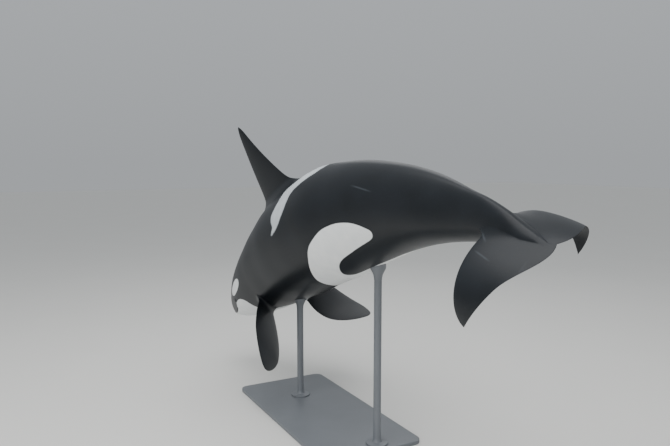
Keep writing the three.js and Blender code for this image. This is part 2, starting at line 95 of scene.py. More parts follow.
# Shares over which the easing sets in and ends
EASE_START, EASE_END = (0.03, 0.09), (0.76, 0.86)
SNOUT_CAP = 0.06
TAIL_SINK, SINK_START, SINK_CURVE = 0.064, 0.9, 1.6
RIDGE_END, RIDGE_END_REACH, RIDGE_END_PASSES = 0.987, 0.085, 24
ROUND_SECTION, STOCK_SECTION = 2.0, 1.5
KEEL_SHARES = (0.5, 0.92)
RIDGE = 0.04

# Mouth. The line fades over these shares past its corner.
MOUTH_CORNER, MOUTH_FADE = 0.098, (-0.008, 0.004)
MOUTH_FRONT_ANGLE, MOUTH_CORNER_ANGLE, MOUTH_SAG = 101, 92, 5
GROOVE_DEPTH, GROOVE_WIDTH = 0.009, 0.006
LIP_HEIGHT, LIP_OFFSET, LIP_WIDTH = 0.005, 0.020, 0.013
FULL_LIP_RADIUS = 0.150

# Eyes and lids. Swelling, rim and folds are told as multiples of the lids' reach or opening.
EYE_SHARE, EYE_ANGLE, EYE_RISE = 0.111, 81, 0.007
LID_OPENING, LID_REACH, LID_HEIGHT = (0.019, 0.0125), (0.062, 0.048), 0.008
LID_CREST, LID_SPREAD, LID_FADE = 0.36, 0.3, (0.8, 1.2)
RIM_DEPTH, RIM_WIDTH = 0.003, 0.13
# Side (up is -1), depth, distance out, width, and the metres over which each fold sets in
LID_FOLDS = ((-1, 0.0022, 1.75, 0.16, (-0.004, 0.008)), (1, 0.0014, 1.95, 0.18, (-0.002, 0.010)))
PUPIL_REACH = (0.0085, 0.0055)
# Groove round the cornea: its depth as a share of the radius, then its angle and width in radians
LIMBUS_GROOVE, LIMBUS_ANGLE, LIMBUS_WIDTH = 0.03, 0.62, 0.18
PLUG_DEPTH, PLUG_RISE = 0.05, 0.027
CUT_GAP = 0.0004

# Blowhole
BLOWHOLE_SHARE, BLOWHOLE_REACH, BLOWHOLE_LIP = 0.104, (0.058, 0.066), 0.005
BLOWHOLE_CREST, BLOWHOLE_SPREAD, BLOWHOLE_FADE = 0.5, 0.3, (0.8, 1.3)
BLOWHOLE_ARC, BLOWHOLE_SPAN, BLOWHOLE_BORE = 0.036, 62, 0.006
BLOWHOLE_RINGS, BLOWHOLE_RISE, BLOWHOLE_DEEPER, BLOWHOLE_HORN = 24, 0.002, 1.6, 0.05

# The body's grid: shares that its even steps reach, and rows and columns of faces
ROW_STEPS = [0.0, 0.05, 0.30, 0.42, 1.0]
ROW_SHARES = [0.0, 0.012, 0.098, 0.170, 1.0]
BODY_ROWS, BODY_COLUMNS = 330, 168
# Distances of the rows of faces beside the mouth's line, how many lie above them, and where they spread out
LINE_ROWS = np.array([0, 1.8, 3.6, 5.6, 8, 11, 14.5, 19, 25, 33, 43, 55]) / 1000
ROWS_ABOVE, ROW_SPREAD = 36, (0.125, 0.30)
# Reach round the eyes and the blowhole, and cuts in each face there
FINER_FACES = ((0.085, 1), (0.045, 2))

# Blades are the fins, flippers and flukes, each told from the body outwards
BLADE_ROWS, BLADE_COLUMNS = 64, 44
# Share of the rows at the root, the reach that they cover, and how the rest crowd to the tip
ROOT_ROWS, ROOT_REACH, TIP_CROWDING = 0.36, 0.12, 1.5
SECTION_FULLNESS, SECTION_TAPER, SECTION_REAR = 1.45, 0.85, 0.35
THINNEST, BLADE_CENTRE, EDGE_SHARPNESS, TIP_LEFT = 0.02, 0.42, 6, 0.002
FILLET_SHARE, LEAST_FILLET = 0.3, 0.002

# Dorsal fin. The flare is its spread at the foot: reach, then ahead, behind and in thickness.
DORSAL_FRONT, DORSAL_REAR, DORSAL_LEAN = 0.339, 0.469, -4.7
DORSAL_TIP_AFT, DORSAL_TIP_EDGES = 0.375, (0.86, 1.06)
DORSAL_FRONT_BOW, DORSAL_REAR_BOW = 0.077, 0.210
DORSAL_FLARE = (0.1, 0.040, 0.050, 0.010)
DORSAL_THICK, DORSAL_THINNING, DORSAL_ROUND = (0.120, 0.026), 0.8, 0.88
DORSAL_INSIDE, DORSAL_FILLET = 0.16, 0.09

# Flippers. Each edge has its share of the chord at the root, and what it swells by.
FLIPPER_SHARE, FLIPPER_ANGLE, FLIPPER_CHORD = 0.2035, 127, 0.535
FLIPPER_FRONT, FLIPPER_REAR, FLIPPER_SWELL = (0.3, 0.2), (0.3, 0.25), 0.92
FLIPPER_THICK, FLIPPER_FLARE, FLIPPER_ROUND = (0.095, 0.026), (0.12, 0.015), 0.62
FLIPPER_INSIDE, FLIPPER_FILLET, ROOT_TAPER = 0.2, 0.07, 3.2
FLIPPERS = {
    "left": {"side": 1, "sweep": 35.8, "droop": 39.3, "feather": -51.6, "curl": -14},
    "right": {"side": -1, "sweep": 7.5, "droop": 101.2, "feather": 86.8, "curl": -61.5},
}

# Flukes. The stub inside the body draws in at both edges and thins.
FLUKE_SHARE, FLUKE_CHORD, FLUKE_TIP_AFT, FLUKE_SWEEP = 0.9255, 0.501, 0.152, 1.79
FLUKE_LEAD, FLUKE_LOBE, LOBE_REACH, FLUKE_FULLNESS = 0.024, 0.060, 0.55, 0.050
LOBE_PEAK = 27 / 4
STUB_FRONT, STUB_REAR, STUB_THINNING = 0.6, 0.8, 9
FLUKE_THICK, FLUKE_THINNING, FLUKE_ROUND = (0.078, 0.012), 0.7, 0.94
FLUKE_INSIDE, FLUKE_FILLET = 0.06, 0.05
FLUKE_PITCH, FLUKE_ROLL, FLUKE_YAW, FLUKE_DROOP = 8.2, -6, 5, 3.1
CURL_STEPS, CURL_END = 400, 1.02
FLUKES = {
    "left": {"side": 1, "skew": 6.3, "curl": 111.5, "sharpness": 2.05},
    "right": {"side": -1, "skew": 1.4, "curl": 109.8, "sharpness": 1.35},
}

# Merging and smoothing of the mesh
SEAM_MERGE, JOIN_MERGE, JOIN_PASSES, SMOOTH_SHARE = 2e-5, 0.001, 6, 0.5

# Stand. Profiles hold heights over the base or the cup's rim, and radii over the foot's or the rod's.
BASE_CORNER, BASE_RIM, CORNER_SEGMENTS, RIM_SEGMENTS = 0.090, 0.006, 14, 4
ROD_FOOT, ROD_CUP, ROD_SIDES, CUP_RISE, CUP_BELOW = 0.110, 0.078, 72, 0.06, -0.11
FOOT_PROFILE = [(0, -0.002), (0.002, 0), (0.012, 0), (0.014, -0.002)]
ANKLE_PROFILE = [(0.022, 0.014), (0.034, 0.005), (0.06, 0)]
NECK_PROFILE = [(-0.23, 0), (-0.20, 0.003), (-0.17, 0.010), (-0.14, 0.024)]
RODS = {
    "front": {"along": 0.56, "aside": 0.0, "share": 0.296},
    "rear": {"along": -1.0, "aside": -0.1, "share": 0.593},
}
SMOOTH_ANGLE = 35

# Edges of the markings, as share of the length and degrees down from the back
EYE_PATCH = [(0.1075, 67), (0.115, 59.5), (0.140, 56), (0.166, 57.2), (0.183, 61.5), (0.1865, 66),
             (0.178, 70.5), (0.152, 73.5), (0.122, 72.8)]
THROAT_EDGE = [(-0.02, 101), (0.02, 103), (0.05, 103), (0.08, 97), (0.104, 87), (0.128, 84.5)]
THROAT_REAR = [(0.150, 88), (0.165, 96), (0.171, 106), (0.176, 120), (0.190, 136), (0.215, 148)]
BELLY_EDGE = [(0.260, 162), (0.320, 168), (0.380, 168), (0.425, 164), (0.449, 150)]
FLANK_FRONT = [(0.466, 129), (0.489, 114), (0.513, 102), (0.537, 91), (0.558, 85), (0.589, 78.5)]
FLANK_TOP = [(0.620, 76), (0.644, 76.5), (0.668, 79.5), (0.688, 86), (0.700, 94), (0.699, 102)]
FLANK_UNDER = [(0.686, 108), (0.655, 111.5), (0.620, 115), (0.589, 118), (0.568, 122.5)]
TONGUE = [(0.550, 131), (0.543, 139), (0.552, 147), (0.580, 152.5), (0.630, 157)]
VENT_EDGE = [(0.700, 163), (0.760, 171), (0.790, 181)]
PAST_BELLY = [(0.80, 200), (0.80, 240), (-0.05, 240), (-0.05, 130)]
SADDLE_FRONT = [(0.500, 4), (0.492, 10), (0.470, 13), (0.461, 19), (0.458, 28), (0.447, 36),
                (0.437, 43), (0.438, 50), (0.443, 56)]
SADDLE_REAR = [(0.433, 62.5), (0.450, 61), (0.468, 56), (0.486, 47), (0.496, 38), (0.506, 28.5),
               (0.522, 23), (0.545, 16), (0.560, 8)]
PAST_BACK = [(0.56, -8), (0.50, -8)]
# Steps from point to point, greatest distance kept, and how high up a blade each colour reaches
OUTLINE_STEPS, FARTHEST, WHITE_HEIGHT, SADDLE_HEIGHT = 6, 0.5, 0.05, 0.09
FIRST_SHARE, GIRTH_RANGE = 0.01, (0.4, 1.2)

# Colours
# The scar grey also paints the highlights along creases
SLATE_BLACK, DEEP_BLACK, SCAR_AND_CREASE_HIGHLIGHT_GREY = "#1c2025", "#101316", "#3d4247"
PATCH_WHITE, PATCH_SHADE = "#f3f4f2", "#dde1e2"
SADDLE_GREY, SADDLE_SHADE = "#c9ced1", "#a9b0b4"
IRIS_BROWN, EYE_RIM, PUPIL_BLACK = "#4a2a18", "#20130f", "#050506"
STAND_GREY, FLOOR_GREY = "#6d7176", "#d9d8d4"
STAND_DARKER, FLOOR_DARKER = 0.82, 0.96

# Features of each pattern in a metre, with the size of one
CLOUD_SCALE = 4.0  # 250 mm
FLECK_SCALE = 85.0  # 12 mm
SHADE_SCALE = 9.0  # 110 mm
RAKE_PATCH_SCALE = 2.2  # 450 mm
WAVER_SCALE = 14.0  # 70 mm
PORE_SCALE = 160.0  # 6 mm
IRIS_SCALE = 900.0  # 1 mm
PAINT_TONE_SCALE = 3.0  # 330 mm
PEEL_SCALE = 600.0  # 1.7 mm
FLOOR_TONE_SCALE = 0.7  # 1.4 m

# Old scratches, and creases whose highlights are painted as pale lines, on the flukes, the tail and the
# flank, each from one place to another
SCRATCH_AND_CREASE_LINE_WIDTH = 0.010
SCRATCHES_AND_CREASE_HIGHLIGHTS = [
    ((-2.890, 0.341, 2.228), (-3.068, 0.359, 2.174)),
    ((-2.732, 0.199, 2.347), (-2.868, 0.271, 2.288)),
    ((-2.791, 0.206, 2.359), (-2.936, 0.279, 2.276)),
    ((-3.043, 0.132, 2.458), (-3.146, 0.056, 2.391)),
    ((-1.292, 0.380, 2.609), (-1.609, 0.348, 2.560)),
]

# The camera stands where the photograph was taken from
CAMERA_PLACE = (-6.146, 3.143, 2.812)
CAMERA_LOOK = (0.8764, -0.472, -0.0958)
PICTURE_WIDTH, FOCAL_PIXELS, SENSOR, VIEW_END = 670, 637, 36.0, 300
SKY_LIGHT, HORIZON_SHARE = (0.66, 0.69, 0.72), 0.61
FLOOR_SIZE = 120
# Place, size and power of each light
LIGHTS = {
    "overhead": ((-2.5, 2.0, 9.0), 9.0, 900),
    "fill": ((-7.0, 8.5, 4.0), 5.0, 320),
    "rim": ((5.5, -5.0, 6.5), 5.0, 70),
}
LIGHT_TARGET = (-0.6, 0, 2.0)

# Floors that keep a division or a comparison safe
TINY, SMALL, LEAST, THIN = 1e-12, 1e-6, 1e-4, 1e-3

# How far apart shader nodes lie in their editor
NODE_STEP = 180


def linear(code):
    """Turns an sRGB hex colour into linear red, green, blue and alpha."""
    values = [int(code[i:i + 2], 16) / 255 for i in (1, 3, 5)]
    return [v / 12.92 if v <= 0.04045 else ((v + 0.055) / 1.055) ** 2.4 for v in values] + [1.0]


def dimmed(colour, share):
    """A colour times a share, with full alpha."""
    return [share * value for value in list(colour)[:3]] + [1.0]


def metres(name, description, default):
    return bpy.props.FloatProperty(name=name, description=description, default=default, unit="LENGTH")


def colour_of(name, description, code):
    return bpy.props.FloatVectorProperty(
        name=name, description=description, default=linear(code), size=4, subtype="COLOR")


class OrcaSizes(bpy.types.PropertyGroup):
    """Sizes of the animal."""

    body_length: metres("Body length", "Snout to fluke notch, along the spine", 6.0)
    dorsal_height: metres("Dorsal fin", "Height of the dorsal fin", 0.93)
    flipper_length: metres("Flippers", "Length of each flipper", 1.15)
    fluke_span: metres("Flukes", "Half span of the flukes along the blade", 0.853)
    eye_radius: metres("Eyes", "Radius of each eyeball", 0.027)


class OrcaColours(bpy.types.PropertyGroup):
    """Colours of the skin and the stand."""

    black: colour_of("Black", "Back, flanks and fins", SLATE_BLACK)
    white: colour_of("White", "Eye patches, throat, belly and flanks", PATCH_WHITE)
    saddle: colour_of("Saddle", "Patch behind the dorsal fin", SADDLE_GREY)
    stand: colour_of("Stand", "Paint of the stand", STAND_GREY)


class StandSizes(bpy.types.PropertyGroup):
    """Sizes of the display stand."""

    length: metres("Length", "Length of the base", 2.3)
    width: metres("Width", "Width of the base", 1.1)
    thickness: metres("Thickness", "Thickness of the base", 0.04)
    rod_radius: metres("Rods", "Radius of each rod", 0.038)


def bump(x):
    return np.exp(-np.square(x))


def smooth_step(x, low, high):
    t = np.clip((x - low) / (high - low), 0, 1)
    return t * t * (3 - 2 * t)


def lerp(a, b, t):
    return a + (b - a) * t


def rotation(vector):
    """Rotation matrix about a vector, by its length in radians."""
    angle = np.linalg.norm(vector)
    if angle < TINY:
        return np.eye(3)
    x, y, z = vector / angle
    cross = np.array([[0, -z, y], [z, 0, -x], [-y, x, 0]])
    return np.eye(3) + math.sin(angle) * cross + (1 - math.cos(angle)) * cross @ cross


def turned(yaw, climb, roll):
    """Rotation by roll about x, then climb, then yaw about z, in degrees."""
    about_z = rotation(np.array([0, 0, math.radians(yaw)]))
    about_y = rotation(np.array([0, -math.radians(climb), 0]))
    about_x = rotation(np.array([math.radians(roll), 0, 0]))
    return about_z @ about_y @ about_x


def mix_even(values, share):
    return np.interp(share, np.linspace(0, 1, len(values)), values)


def trace_spine(length):
    """Places and frames along the spine: x is forward, y the animal's left, z its back."""
    half = SPINE_STEPS // 2
    places = np.zeros((SPINE_STEPS + 1, 3))
    turns = np.zeros((SPINE_STEPS + 1, 3, 3))
    places[half] = MIDDLE_PLACE
    turns[half] = turned(HEADING, CLIMB, -BANK)
    for way in (1, -1):
        for k in range(half):
            i = half - way * k
            share = (i - way / 2) / SPINE_STEPS
            rates = [mix_even(bends, share) for bends in (TWIST_BENDS, ARCH_BENDS, TURN_BENDS)]
            turns[i - way] = turns[i] @ rotation(np.radians(rates) * way / SPINE_STEPS)
            ahead = turns[i][:, 0] + turns[i - way][:, 0]
            places[i - way] = places[i] + way * 0.5 * ahead * length / SPINE_STEPS
    return places, turns


def curve_through(rows, x, column):
    """Smooth curve through rows that never overshoots them."""
    steps, values = rows[:, 0], rows[:, column]
    slopes = np.diff(values) / np.diff(steps)
    tangents = np.zeros(len(steps))
    tangents[0], tangents[-1] = slopes[0], slopes[-1]
    for k in range(1, len(steps) - 1):
        before, after = slopes[k - 1], slopes[k]
        tangents[k] = 2 * before * after / (before + after) if before * after > 0 else 0
    x = np.clip(x, steps[0], steps[-1])
    i = np.clip(np.searchsorted(steps, x, side="right") - 1, 0, len(steps) - 2)
    width = steps[i + 1] - steps[i]
    t = (x - steps[i]) / width
    start = values[i] + t * width * tangents[i]
    end = values[i + 1] - (1 - t) * width * tangents[i + 1]
    return lerp(start, end, t * t * (3 - 2 * t))


def softened_size(shares, column):
    """One size of the body along its length, eased so that no band shows where two stretches meet."""
    plain = curve_through(BODY_STATIONS, shares, column)
    window = np.hanning(2 * EASE_STEPS + 1)
    eased = np.convolve(np.pad(plain, EASE_STEPS, mode="edge"), window / window.sum(), mode="valid")
    ease = smooth_step(shares, *EASE_START) * (1 - smooth_step(shares, *EASE_END))
    return lerp(plain, eased, ease)


class Body:
    """The bent body: its spine, its sections and its skin."""

    def __init__(self, length):
        self.length = length
        self.places, self.turns = trace_spine(length)
        self.shares = np.linspace(0, 1, SIZE_STEPS + 1)
        self.sizes = [softened_size(self.shares, column) for column in (1, 2, 3)]

    def frame(self, share):
        x = np.clip(share, 0, 1) * SPINE_STEPS
        i = np.minimum(x.astype(int), SPINE_STEPS - 1)
        t = (x - i)[:, None]
        place = lerp(self.places[i], self.places[i + 1], t)
        turn = lerp(self.turns[i], self.turns[i + 1], t[..., None])
        return place, turn

    def size(self, share):
        t = np.clip(share / SNOUT_CAP, 0, 1)
        cap = np.sqrt(1 - np.square(1 - t))
        above, below, width = [np.interp(share, self.shares, sizes) * cap for sizes in self.sizes]
        exponent = lerp(ROUND_SECTION, STOCK_SECTION, smooth_step(share, *KEEL_SHARES))
        return above, below, width, exponent

    def relief(self, share, angle, width, above):
        """Height of the lips, lids and blowhole over the plain skin."""
        reach = np.radians(np.abs(angle) - mouth_angle(share)) * width
        fade = 1 - smooth_step(share, MOUTH_CORNER + MOUTH_FADE[0], MOUTH_CORNER + MOUTH_FADE[1])
        tip = np.minimum(1, width / FULL_LIP_RADIUS)
        lips = bump((reach - LIP_OFFSET) / LIP_WIDTH) + bump((reach + LIP_OFFSET) / LIP_WIDTH)
        height = fade * tip * (LIP_HEIGHT * lips - GROOVE_DEPTH * bump(reach / GROOVE_WIDTH))
        radius = (width + above) / 2
        ahead = (EYE_SHARE - share) * self.length
        around = np.radians(np.abs(angle) - EYE_ANGLE) * radius
        height = height + lid_relief(ahead, around)
        ahead = (BLOWHOLE_SHARE - share) * self.length
        return height + blowhole_relief(ahead, np.radians(angle) * radius)

    def skin(self, share, angle, swell=0.0, plain=False):
        """Point on the skin: the angle runs from the back, positive to the left."""
        above, below, width, exponent = self.size(share)
        turn = np.radians(angle)
        up = rounded(np.cos(turn), exponent)
        left = rounded(np.sin(turn), exponent)
        height = np.where(up > 0, above, below)
        flat = np.stack([left / np.maximum(width, THIN), up / np.maximum(height, THIN)], -1)
        flat /= np.maximum(np.linalg.norm(flat, axis=-1), TINY)[:, None]
        grow = swell if plain else swell + self.relief(share, angle, width, above)
        out = np.stack([left * width, up * height], -1) + flat * np.reshape(grow, (-1, 1))
        out[:, 1] -= tail_sink(share)
        place, turns = self.frame(share)
        return place + turns[:, :, 1] * out[:, :1] + turns[:, :, 2] * out[:, 1:]

    def locate(self, points):
        """Share, angle and height over the plain skin for points near the body."""
        squares = np.square(points).sum(1)[:, None]
        near = squares - 2 * points @ self.places.T + np.square(self.places).sum(1)
        share = near.argmin(1) / SPINE_STEPS
        for _ in range(6):
            place, turns = self.frame(share)
            ahead = np.einsum("ij,ij->i", points - place, turns[:, :, 0])
            share = np.clip(share - ahead / self.length, 0, 1)
        place, turns = self.frame(share)
        left = np.einsum("ij,ij->i", points - place, turns[:, :, 1])
        up = np.einsum("ij,ij->i", points - place, turns[:, :, 2]) + tail_sink(share)
        above, below, width, exponent = self.size(np.maximum(share, LEAST))
        tall = np.where(up > 0, above, below)
        u, v = np.abs(left) / width, np.abs(up) / tall
        ratio = np.maximum((u ** exponent + v ** exponent) ** (1 / exponent), SMALL)
        angle = np.degrees(np.arctan2(np.sign(left) * u ** (exponent / 2),
                                      np.sign(up) * v ** (exponent / 2)))
        return share, angle, (1 - 1 / ratio) * np.hypot(left, up)

    def skin_frame(self, share, angle):
        """Axes on the skin as columns, x toward the snout and z outward, and their place."""
        nudge, turn = 0.002, 0.5
        shares = np.array([share, share - nudge, share + nudge, share, share])
        angles = np.array([angle, angle, angle, angle + turn, angle - turn])
        place, front, rear, up, down = self.skin(shares, angles, plain=True)
        ahead = (front - rear) / np.linalg.norm(front - rear)
        outward = np.cross(ahead, up - down)
        outward /= np.linalg.norm(outward)
        return np.stack([ahead, np.cross(outward, ahead), outward], 1), place


def tail_sink(share):
    """Drop of the stock's end into the flukes."""
    return TAIL_SINK * np.clip((share - SINK_START) / (1 - SINK_START), 0, 1) ** SINK_CURVE


def rounded(value, exponent):
    """A power of a sine that keeps the keel's ridge round."""
    power = (2 / exponent - 1) / 2
    return value * ((value * value + RIDGE) / (1 + RIDGE)) ** power


def mouth_angle(share):
    t = np.clip(share / MOUTH_CORNER, 0, 1)
    return lerp(MOUTH_FRONT_ANGLE, MOUTH_CORNER_ANGLE, t) + MOUTH_SAG * np.sin(np.pi * t)


def lid_relief(ahead, around):
    """Swollen lids with a rounded rim, a fold above and a softer fold below."""
    scale = np.hypot(ahead / LID_REACH[0], around / LID_REACH[1])
    opening = np.hypot(ahead / LID_OPENING[0], around / LID_OPENING[1])
    height = LID_HEIGHT * bump((scale - LID_CREST) / LID_SPREAD) * (1 - smooth_step(scale, *LID_FADE))
    height = height - RIM_DEPTH * bump((opening - 1) / RIM_WIDTH)
    for side, depth, out, width, start in LID_FOLDS:
        height = height - depth * bump((opening - out) / width) * smooth_step(side * around, *start)
    return height


def blowhole_relief(ahead, around):
    """Raised rim round the blowhole's crescent."""
    scale = np.hypot(ahead / BLOWHOLE_REACH[0], around / BLOWHOLE_REACH[1])
    rim = BLOWHOLE_LIP * bump((scale - BLOWHOLE_CREST) / BLOWHOLE_SPREAD)
    return rim * (1 - smooth_step(scale, *BLOWHOLE_FADE))


def finish_edit():
    bpy.ops.object.mode_set(mode="OBJECT")


def deselect():
    """Nothing is selected and no object is in edit mode."""
    if bpy.context.object and bpy.context.object.mode != "OBJECT":
        finish_edit()
    bpy.ops.object.select_all(action="DESELECT")


def activate(piece):
    deselect()
    piece.select_set(True)
    bpy.context.view_layer.objects.active = piece


def edit_all(piece):
    """Goes into edit mode with the whole piece selected."""
    activate(piece)
    bpy.ops.object.mode_set(mode="EDIT")
    bpy.ops.mesh.select_all(action="SELECT")


def edit_none(piece, kind):
    """Makes a kind of element selectable, with none of them selected, and leaves edit mode."""
    edit_all(piece)
    bpy.ops.mesh.select_mode(type=kind)
    bpy.ops.mesh.select_all(action="DESELECT")
    finish_edit()


def points_of(piece):
    points = np.empty(len(piece.data.vertices) * 3)
    piece.data.vertices.foreach_get("co", points)
    return points.reshape(-1, 3)


def move_points(piece, points):
    piece.data.vertices.foreach_set("co", np.asarray(points, float).ravel())
    piece.data.update()


def choose_vertices(piece, chosen):
    """Selects vertices by a mask, with the edges and faces that they make up."""
    edit_none(piece, "VERT")
    piece.data.vertices.foreach_set("select", chosen)
    bpy.ops.object.mode_set(mode="EDIT")


def choose_edges(piece, keep):
    """Selects edges by a test on their two ends."""
    edit_none(piece, "EDGE")
    for edge in piece.data.edges:
        edge.select = keep(*[piece.data.vertices[i].co for i in edge.vertices])
    bpy.ops.object.mode_set(mode="EDIT")


def close_up(piece):
    """Merges seams and poles, fills open ends and turns the faces outwards."""
    edit_all(piece)
    bpy.ops.mesh.remove_doubles(threshold=SEAM_MERGE)
    bpy.ops.mesh.fill_holes(sides=0)
    bpy.ops.mesh.select_all(action="SELECT")
    bpy.ops.mesh.normals_make_consistent(inside=False)
    finish_edit()


def cut_rings(piece, heights):
    """Cuts a ring of edges round an upright piece at each height."""
    edit_all(piece)
    for height in heights:
        bpy.ops.mesh.select_all(action="SELECT")
        bpy.ops.mesh.bisect(plane_co=(0, 0, height), plane_no=(0, 0, 1))
    finish_edit()


def settle(piece):
    """Puts the piece's place into its mesh."""
    activate(piece)
    bpy.ops.object.transform_apply(location=True, rotation=True, scale=True)


def combine(piece, other, operation):
    """Joins or cuts a piece with another, which is used up."""
    activate(piece)
    modifier = piece.modifiers.new("combine", "BOOLEAN")
    modifier.operation = operation
    modifier.solver = "MANIFOLD"
    modifier.object = other
    bpy.ops.object.modifier_apply(modifier=modifier.name)
    bpy.data.objects.remove(other, do_unlink=True)


def dress(piece, material, replaced):
    """Gives a finished piece its material, hangs it on the root body and hides the parts that it replaces."""
    piece.data.materials.clear()
    piece.data.materials.append(material)
    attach(piece, "root")
    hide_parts(*replaced)


def flat_grid(name, rows, columns):
    """A flat grid from -1 to 1, to be laid on a curved form."""
    deselect()
    bpy.ops.mesh.primitive_grid_add(x_subdivisions=rows, y_subdivisions=columns, size=2)
    piece = bpy.context.object
    piece.name = name
    return piece


def grid_share(x):
    t = (x + 1) / 2
    shares = np.interp(t, ROW_STEPS, ROW_SHARES)
    start = ROW_SHARES[1] * np.square(np.clip(t / ROW_STEPS[1], 0, 1))
    return np.where(t < ROW_STEPS[1], start, shares)


def grid_angle(y, share, width):
    """Angles that crowd beside the mouth's line on the head, and are even elsewhere."""
    t = np.abs(y)
    half = BODY_COLUMNS // 2
    beside = len(LINE_ROWS) - 1
    step = t * half
    line = mouth_angle(share)
    tip = np.minimum(1, width / FULL_LIP_RADIUS)
    widest = np.degrees(LINE_ROWS[-1] * tip / np.maximum(width, LEAST))
    from_line = step - ROWS_ABOVE - beside
    offset = np.interp(np.abs(from_line), np.arange(beside + 1), LINE_ROWS)
    near = line + np.sign(from_line) * np.degrees(offset * tip / np.maximum(width, LEAST))
    first = step / ROWS_ABOVE * (line - widest)
    last_step = ROWS_ABOVE + 2 * beside
    last = line + widest + (step - last_step) / (half - last_step) * (180 - line - widest)
    crowded = np.where(step < ROWS_ABOVE, first, np.where(step > last_step, last, near))
    angle = lerp(crowded, 180 * t, smooth_step(share, *ROW_SPREAD))
    return np.sign(y) * angle


def body_piece(body):
    """The body's closed skin, with finer faces at the eyes and the blowhole."""
    piece = flat_grid("orca_skin", BODY_ROWS, BODY_COLUMNS)
    for reach, cuts in FINER_FACES:
        points = points_of(piece)
        share = grid_share(points[:, 0])
        above, _, width, _ = body.size(share)
        angle = grid_angle(points[:, 1], share, width)
        radius = (width + above) / 2
        eye = np.hypot((share - EYE_SHARE) * body.length, np.radians(np.abs(angle) - EYE_ANGLE) * radius)
        blow = np.hypot((share - BLOWHOLE_SHARE) * body.length, np.radians(angle) * radius)
        choose_vertices(piece, np.minimum(eye, blow) < reach)
        bpy.ops.mesh.subdivide(number_cuts=cuts)
        finish_edit()
    points = points_of(piece)
    share = grid_share(points[:, 0])
    width = body.size(share)[2]
    skin = body.skin(share, grid_angle(points[:, 1], share, width))
    rear = share > 1 - SMALL
    skin[rear] = skin[rear].mean(0)
    move_points(piece, skin)
    close_up(piece)
    return piece


def blade_half(t):
    """Half thickness of a blade's section, at a share of its chord from the front."""
    return SECTION_FULLNESS * np.sqrt(t) * (1 - t) ** SECTION_TAPER * (1 + SECTION_REAR * t)


def tip_rounding(e, start):
    t = np.maximum(0, (e - start) / (1 - start))
    return np.sqrt(np.maximum(1 - t * t, TIP_LEFT))


def foot_flare(e, reach):
    """Spread of a blade at its foot, full inside the body."""
    return np.where(e < 0, 1, bump(e / reach))


def unit_rows(rows, least):
    """Each row made one long, unless it is shorter than a least length."""
    return rows / np.maximum(np.linalg.norm(rows, axis=1)[:, None], least)


def blade_piece(name, inside, outline, place, body, fillet):
    """A closed blade whose root spreads out onto the skin."""
    piece = flat_grid(name, BLADE_ROWS, BLADE_COLUMNS)
    grid = points_of(piece)
    t = (grid[:, 0] + 1) / 2
    root = lerp(-inside, ROOT_REACH, t / ROOT_ROWS)
    beyond = 1 - (1 - (t - ROOT_ROWS) / (1 - ROOT_ROWS)) ** TIP_CROWDING
    reach = np.where(t < ROOT_ROWS, root, ROOT_REACH + (1 - ROOT_REACH) * beyond)
    around = (grid[:, 1] + 1) / 2
    chord = (1 - np.cos(2 * np.pi * around)) / 2
    front, rear, thick = outline(reach)
    half = np.maximum(thick * 0.5 * blade_half(chord), thick * THINNEST) * np.where(around < 0.5, 1, -1)
    half = np.where((chord < SMALL) | (chord > 1 - SMALL), 0, half)
    points = place(lerp(front, rear, chord), reach, half)
    middle = place(lerp(front, rear, chord), reach, 0 * half)
    centre = place(lerp(front, rear, BLADE_CENTRE), reach, 0 * half)
    # Outward from the section: across the blade on its faces, along it at its edges
    edge = (np.abs(2 * chord - 1) ** EDGE_SHARPNESS)[:, None]
    outward = unit_rows(points - middle, SMALL) * (1 - edge) + unit_rows(middle - centre, SMALL) * edge
    outward = unit_rows(outward, SMALL)
    share, _, height = body.locate(points)
    fillet = np.clip(FILLET_SHARE * (body.size(share)[0] - tail_sink(share)), LEAST_FILLET, fillet)
    lift = np.clip(height / fillet, -1, 1)
    spread = fillet * np.where(lift > 0, np.square(1 - lift), 1 - 2 * lift)
    moved = points + outward * spread[:, None]
    # Two passes bring each point back to its own height over the skin
    for _ in range(2):
        share, angle, now = body.locate(moved)
        foot = body.skin(share, angle, plain=True)
        rise = unit_rows(body.skin(share, angle, swell=0.01, plain=True) - foot, TINY)
        moved = moved + rise * np.where(height < fillet, height - now, 0)[:, None]
    move_points(piece, moved)
    close_up(piece)
    return piece


def dorsal_piece(body, sizes):
    """The tall fin on the back."""
    base = (DORSAL_REAR - DORSAL_FRONT) * body.length
    front_foot, rear_foot = body.skin(np.array([DORSAL_FRONT, DORSAL_REAR]), np.zeros(2), plain=True)
    turn = body.frame(np.array([(DORSAL_FRONT + DORSAL_REAR) / 2]))[1][0]
    lean = math.radians(DORSAL_LEAN)
    up = turn @ np.array([0, math.sin(lean), math.cos(lean)])
    aft = (rear_foot - front_foot) / np.linalg.norm(rear_foot - front_foot)
    side = np.cross(up, aft)
    side /= np.linalg.norm(side)
    rise = np.cross(aft, side)

    def outline(e):
        reach, ahead, behind, thicker = DORSAL_FLARE
        flare = foot_flare(e, reach)
        tip_front, tip_rear = [DORSAL_TIP_AFT * share for share in DORSAL_TIP_EDGES]
        front = tip_front * e - DORSAL_FRONT_BOW * e * (1 - e) - ahead * flare
        rear = base + (tip_rear - base) * e - DORSAL_REAR_BOW * e * (1 - e) + behind * flare
        thick = lerp(*DORSAL_THICK, np.maximum(e, 0) ** DORSAL_THINNING) + thicker * flare
        full = tip_rounding(e, DORSAL_ROUND)
        middle = (front + rear) / 2
        return lerp(middle, front, full), lerp(middle, rear, full), thick * full

    def place(x, reach, half):
        raised = np.outer(sizes.dorsal_height * reach, rise)
        return front_foot + np.outer(x, aft) + raised + np.outer(half, side)

    return blade_piece("dorsal", DORSAL_INSIDE, outline, place, body, DORSAL_FILLET)


def arc_reach(e, curl):
    """How far along and aside a point lies on an arc that bends evenly."""
    turn = math.radians(curl)
    return np.sin(turn * e) / turn, (1 - np.cos(turn * e)) / turn


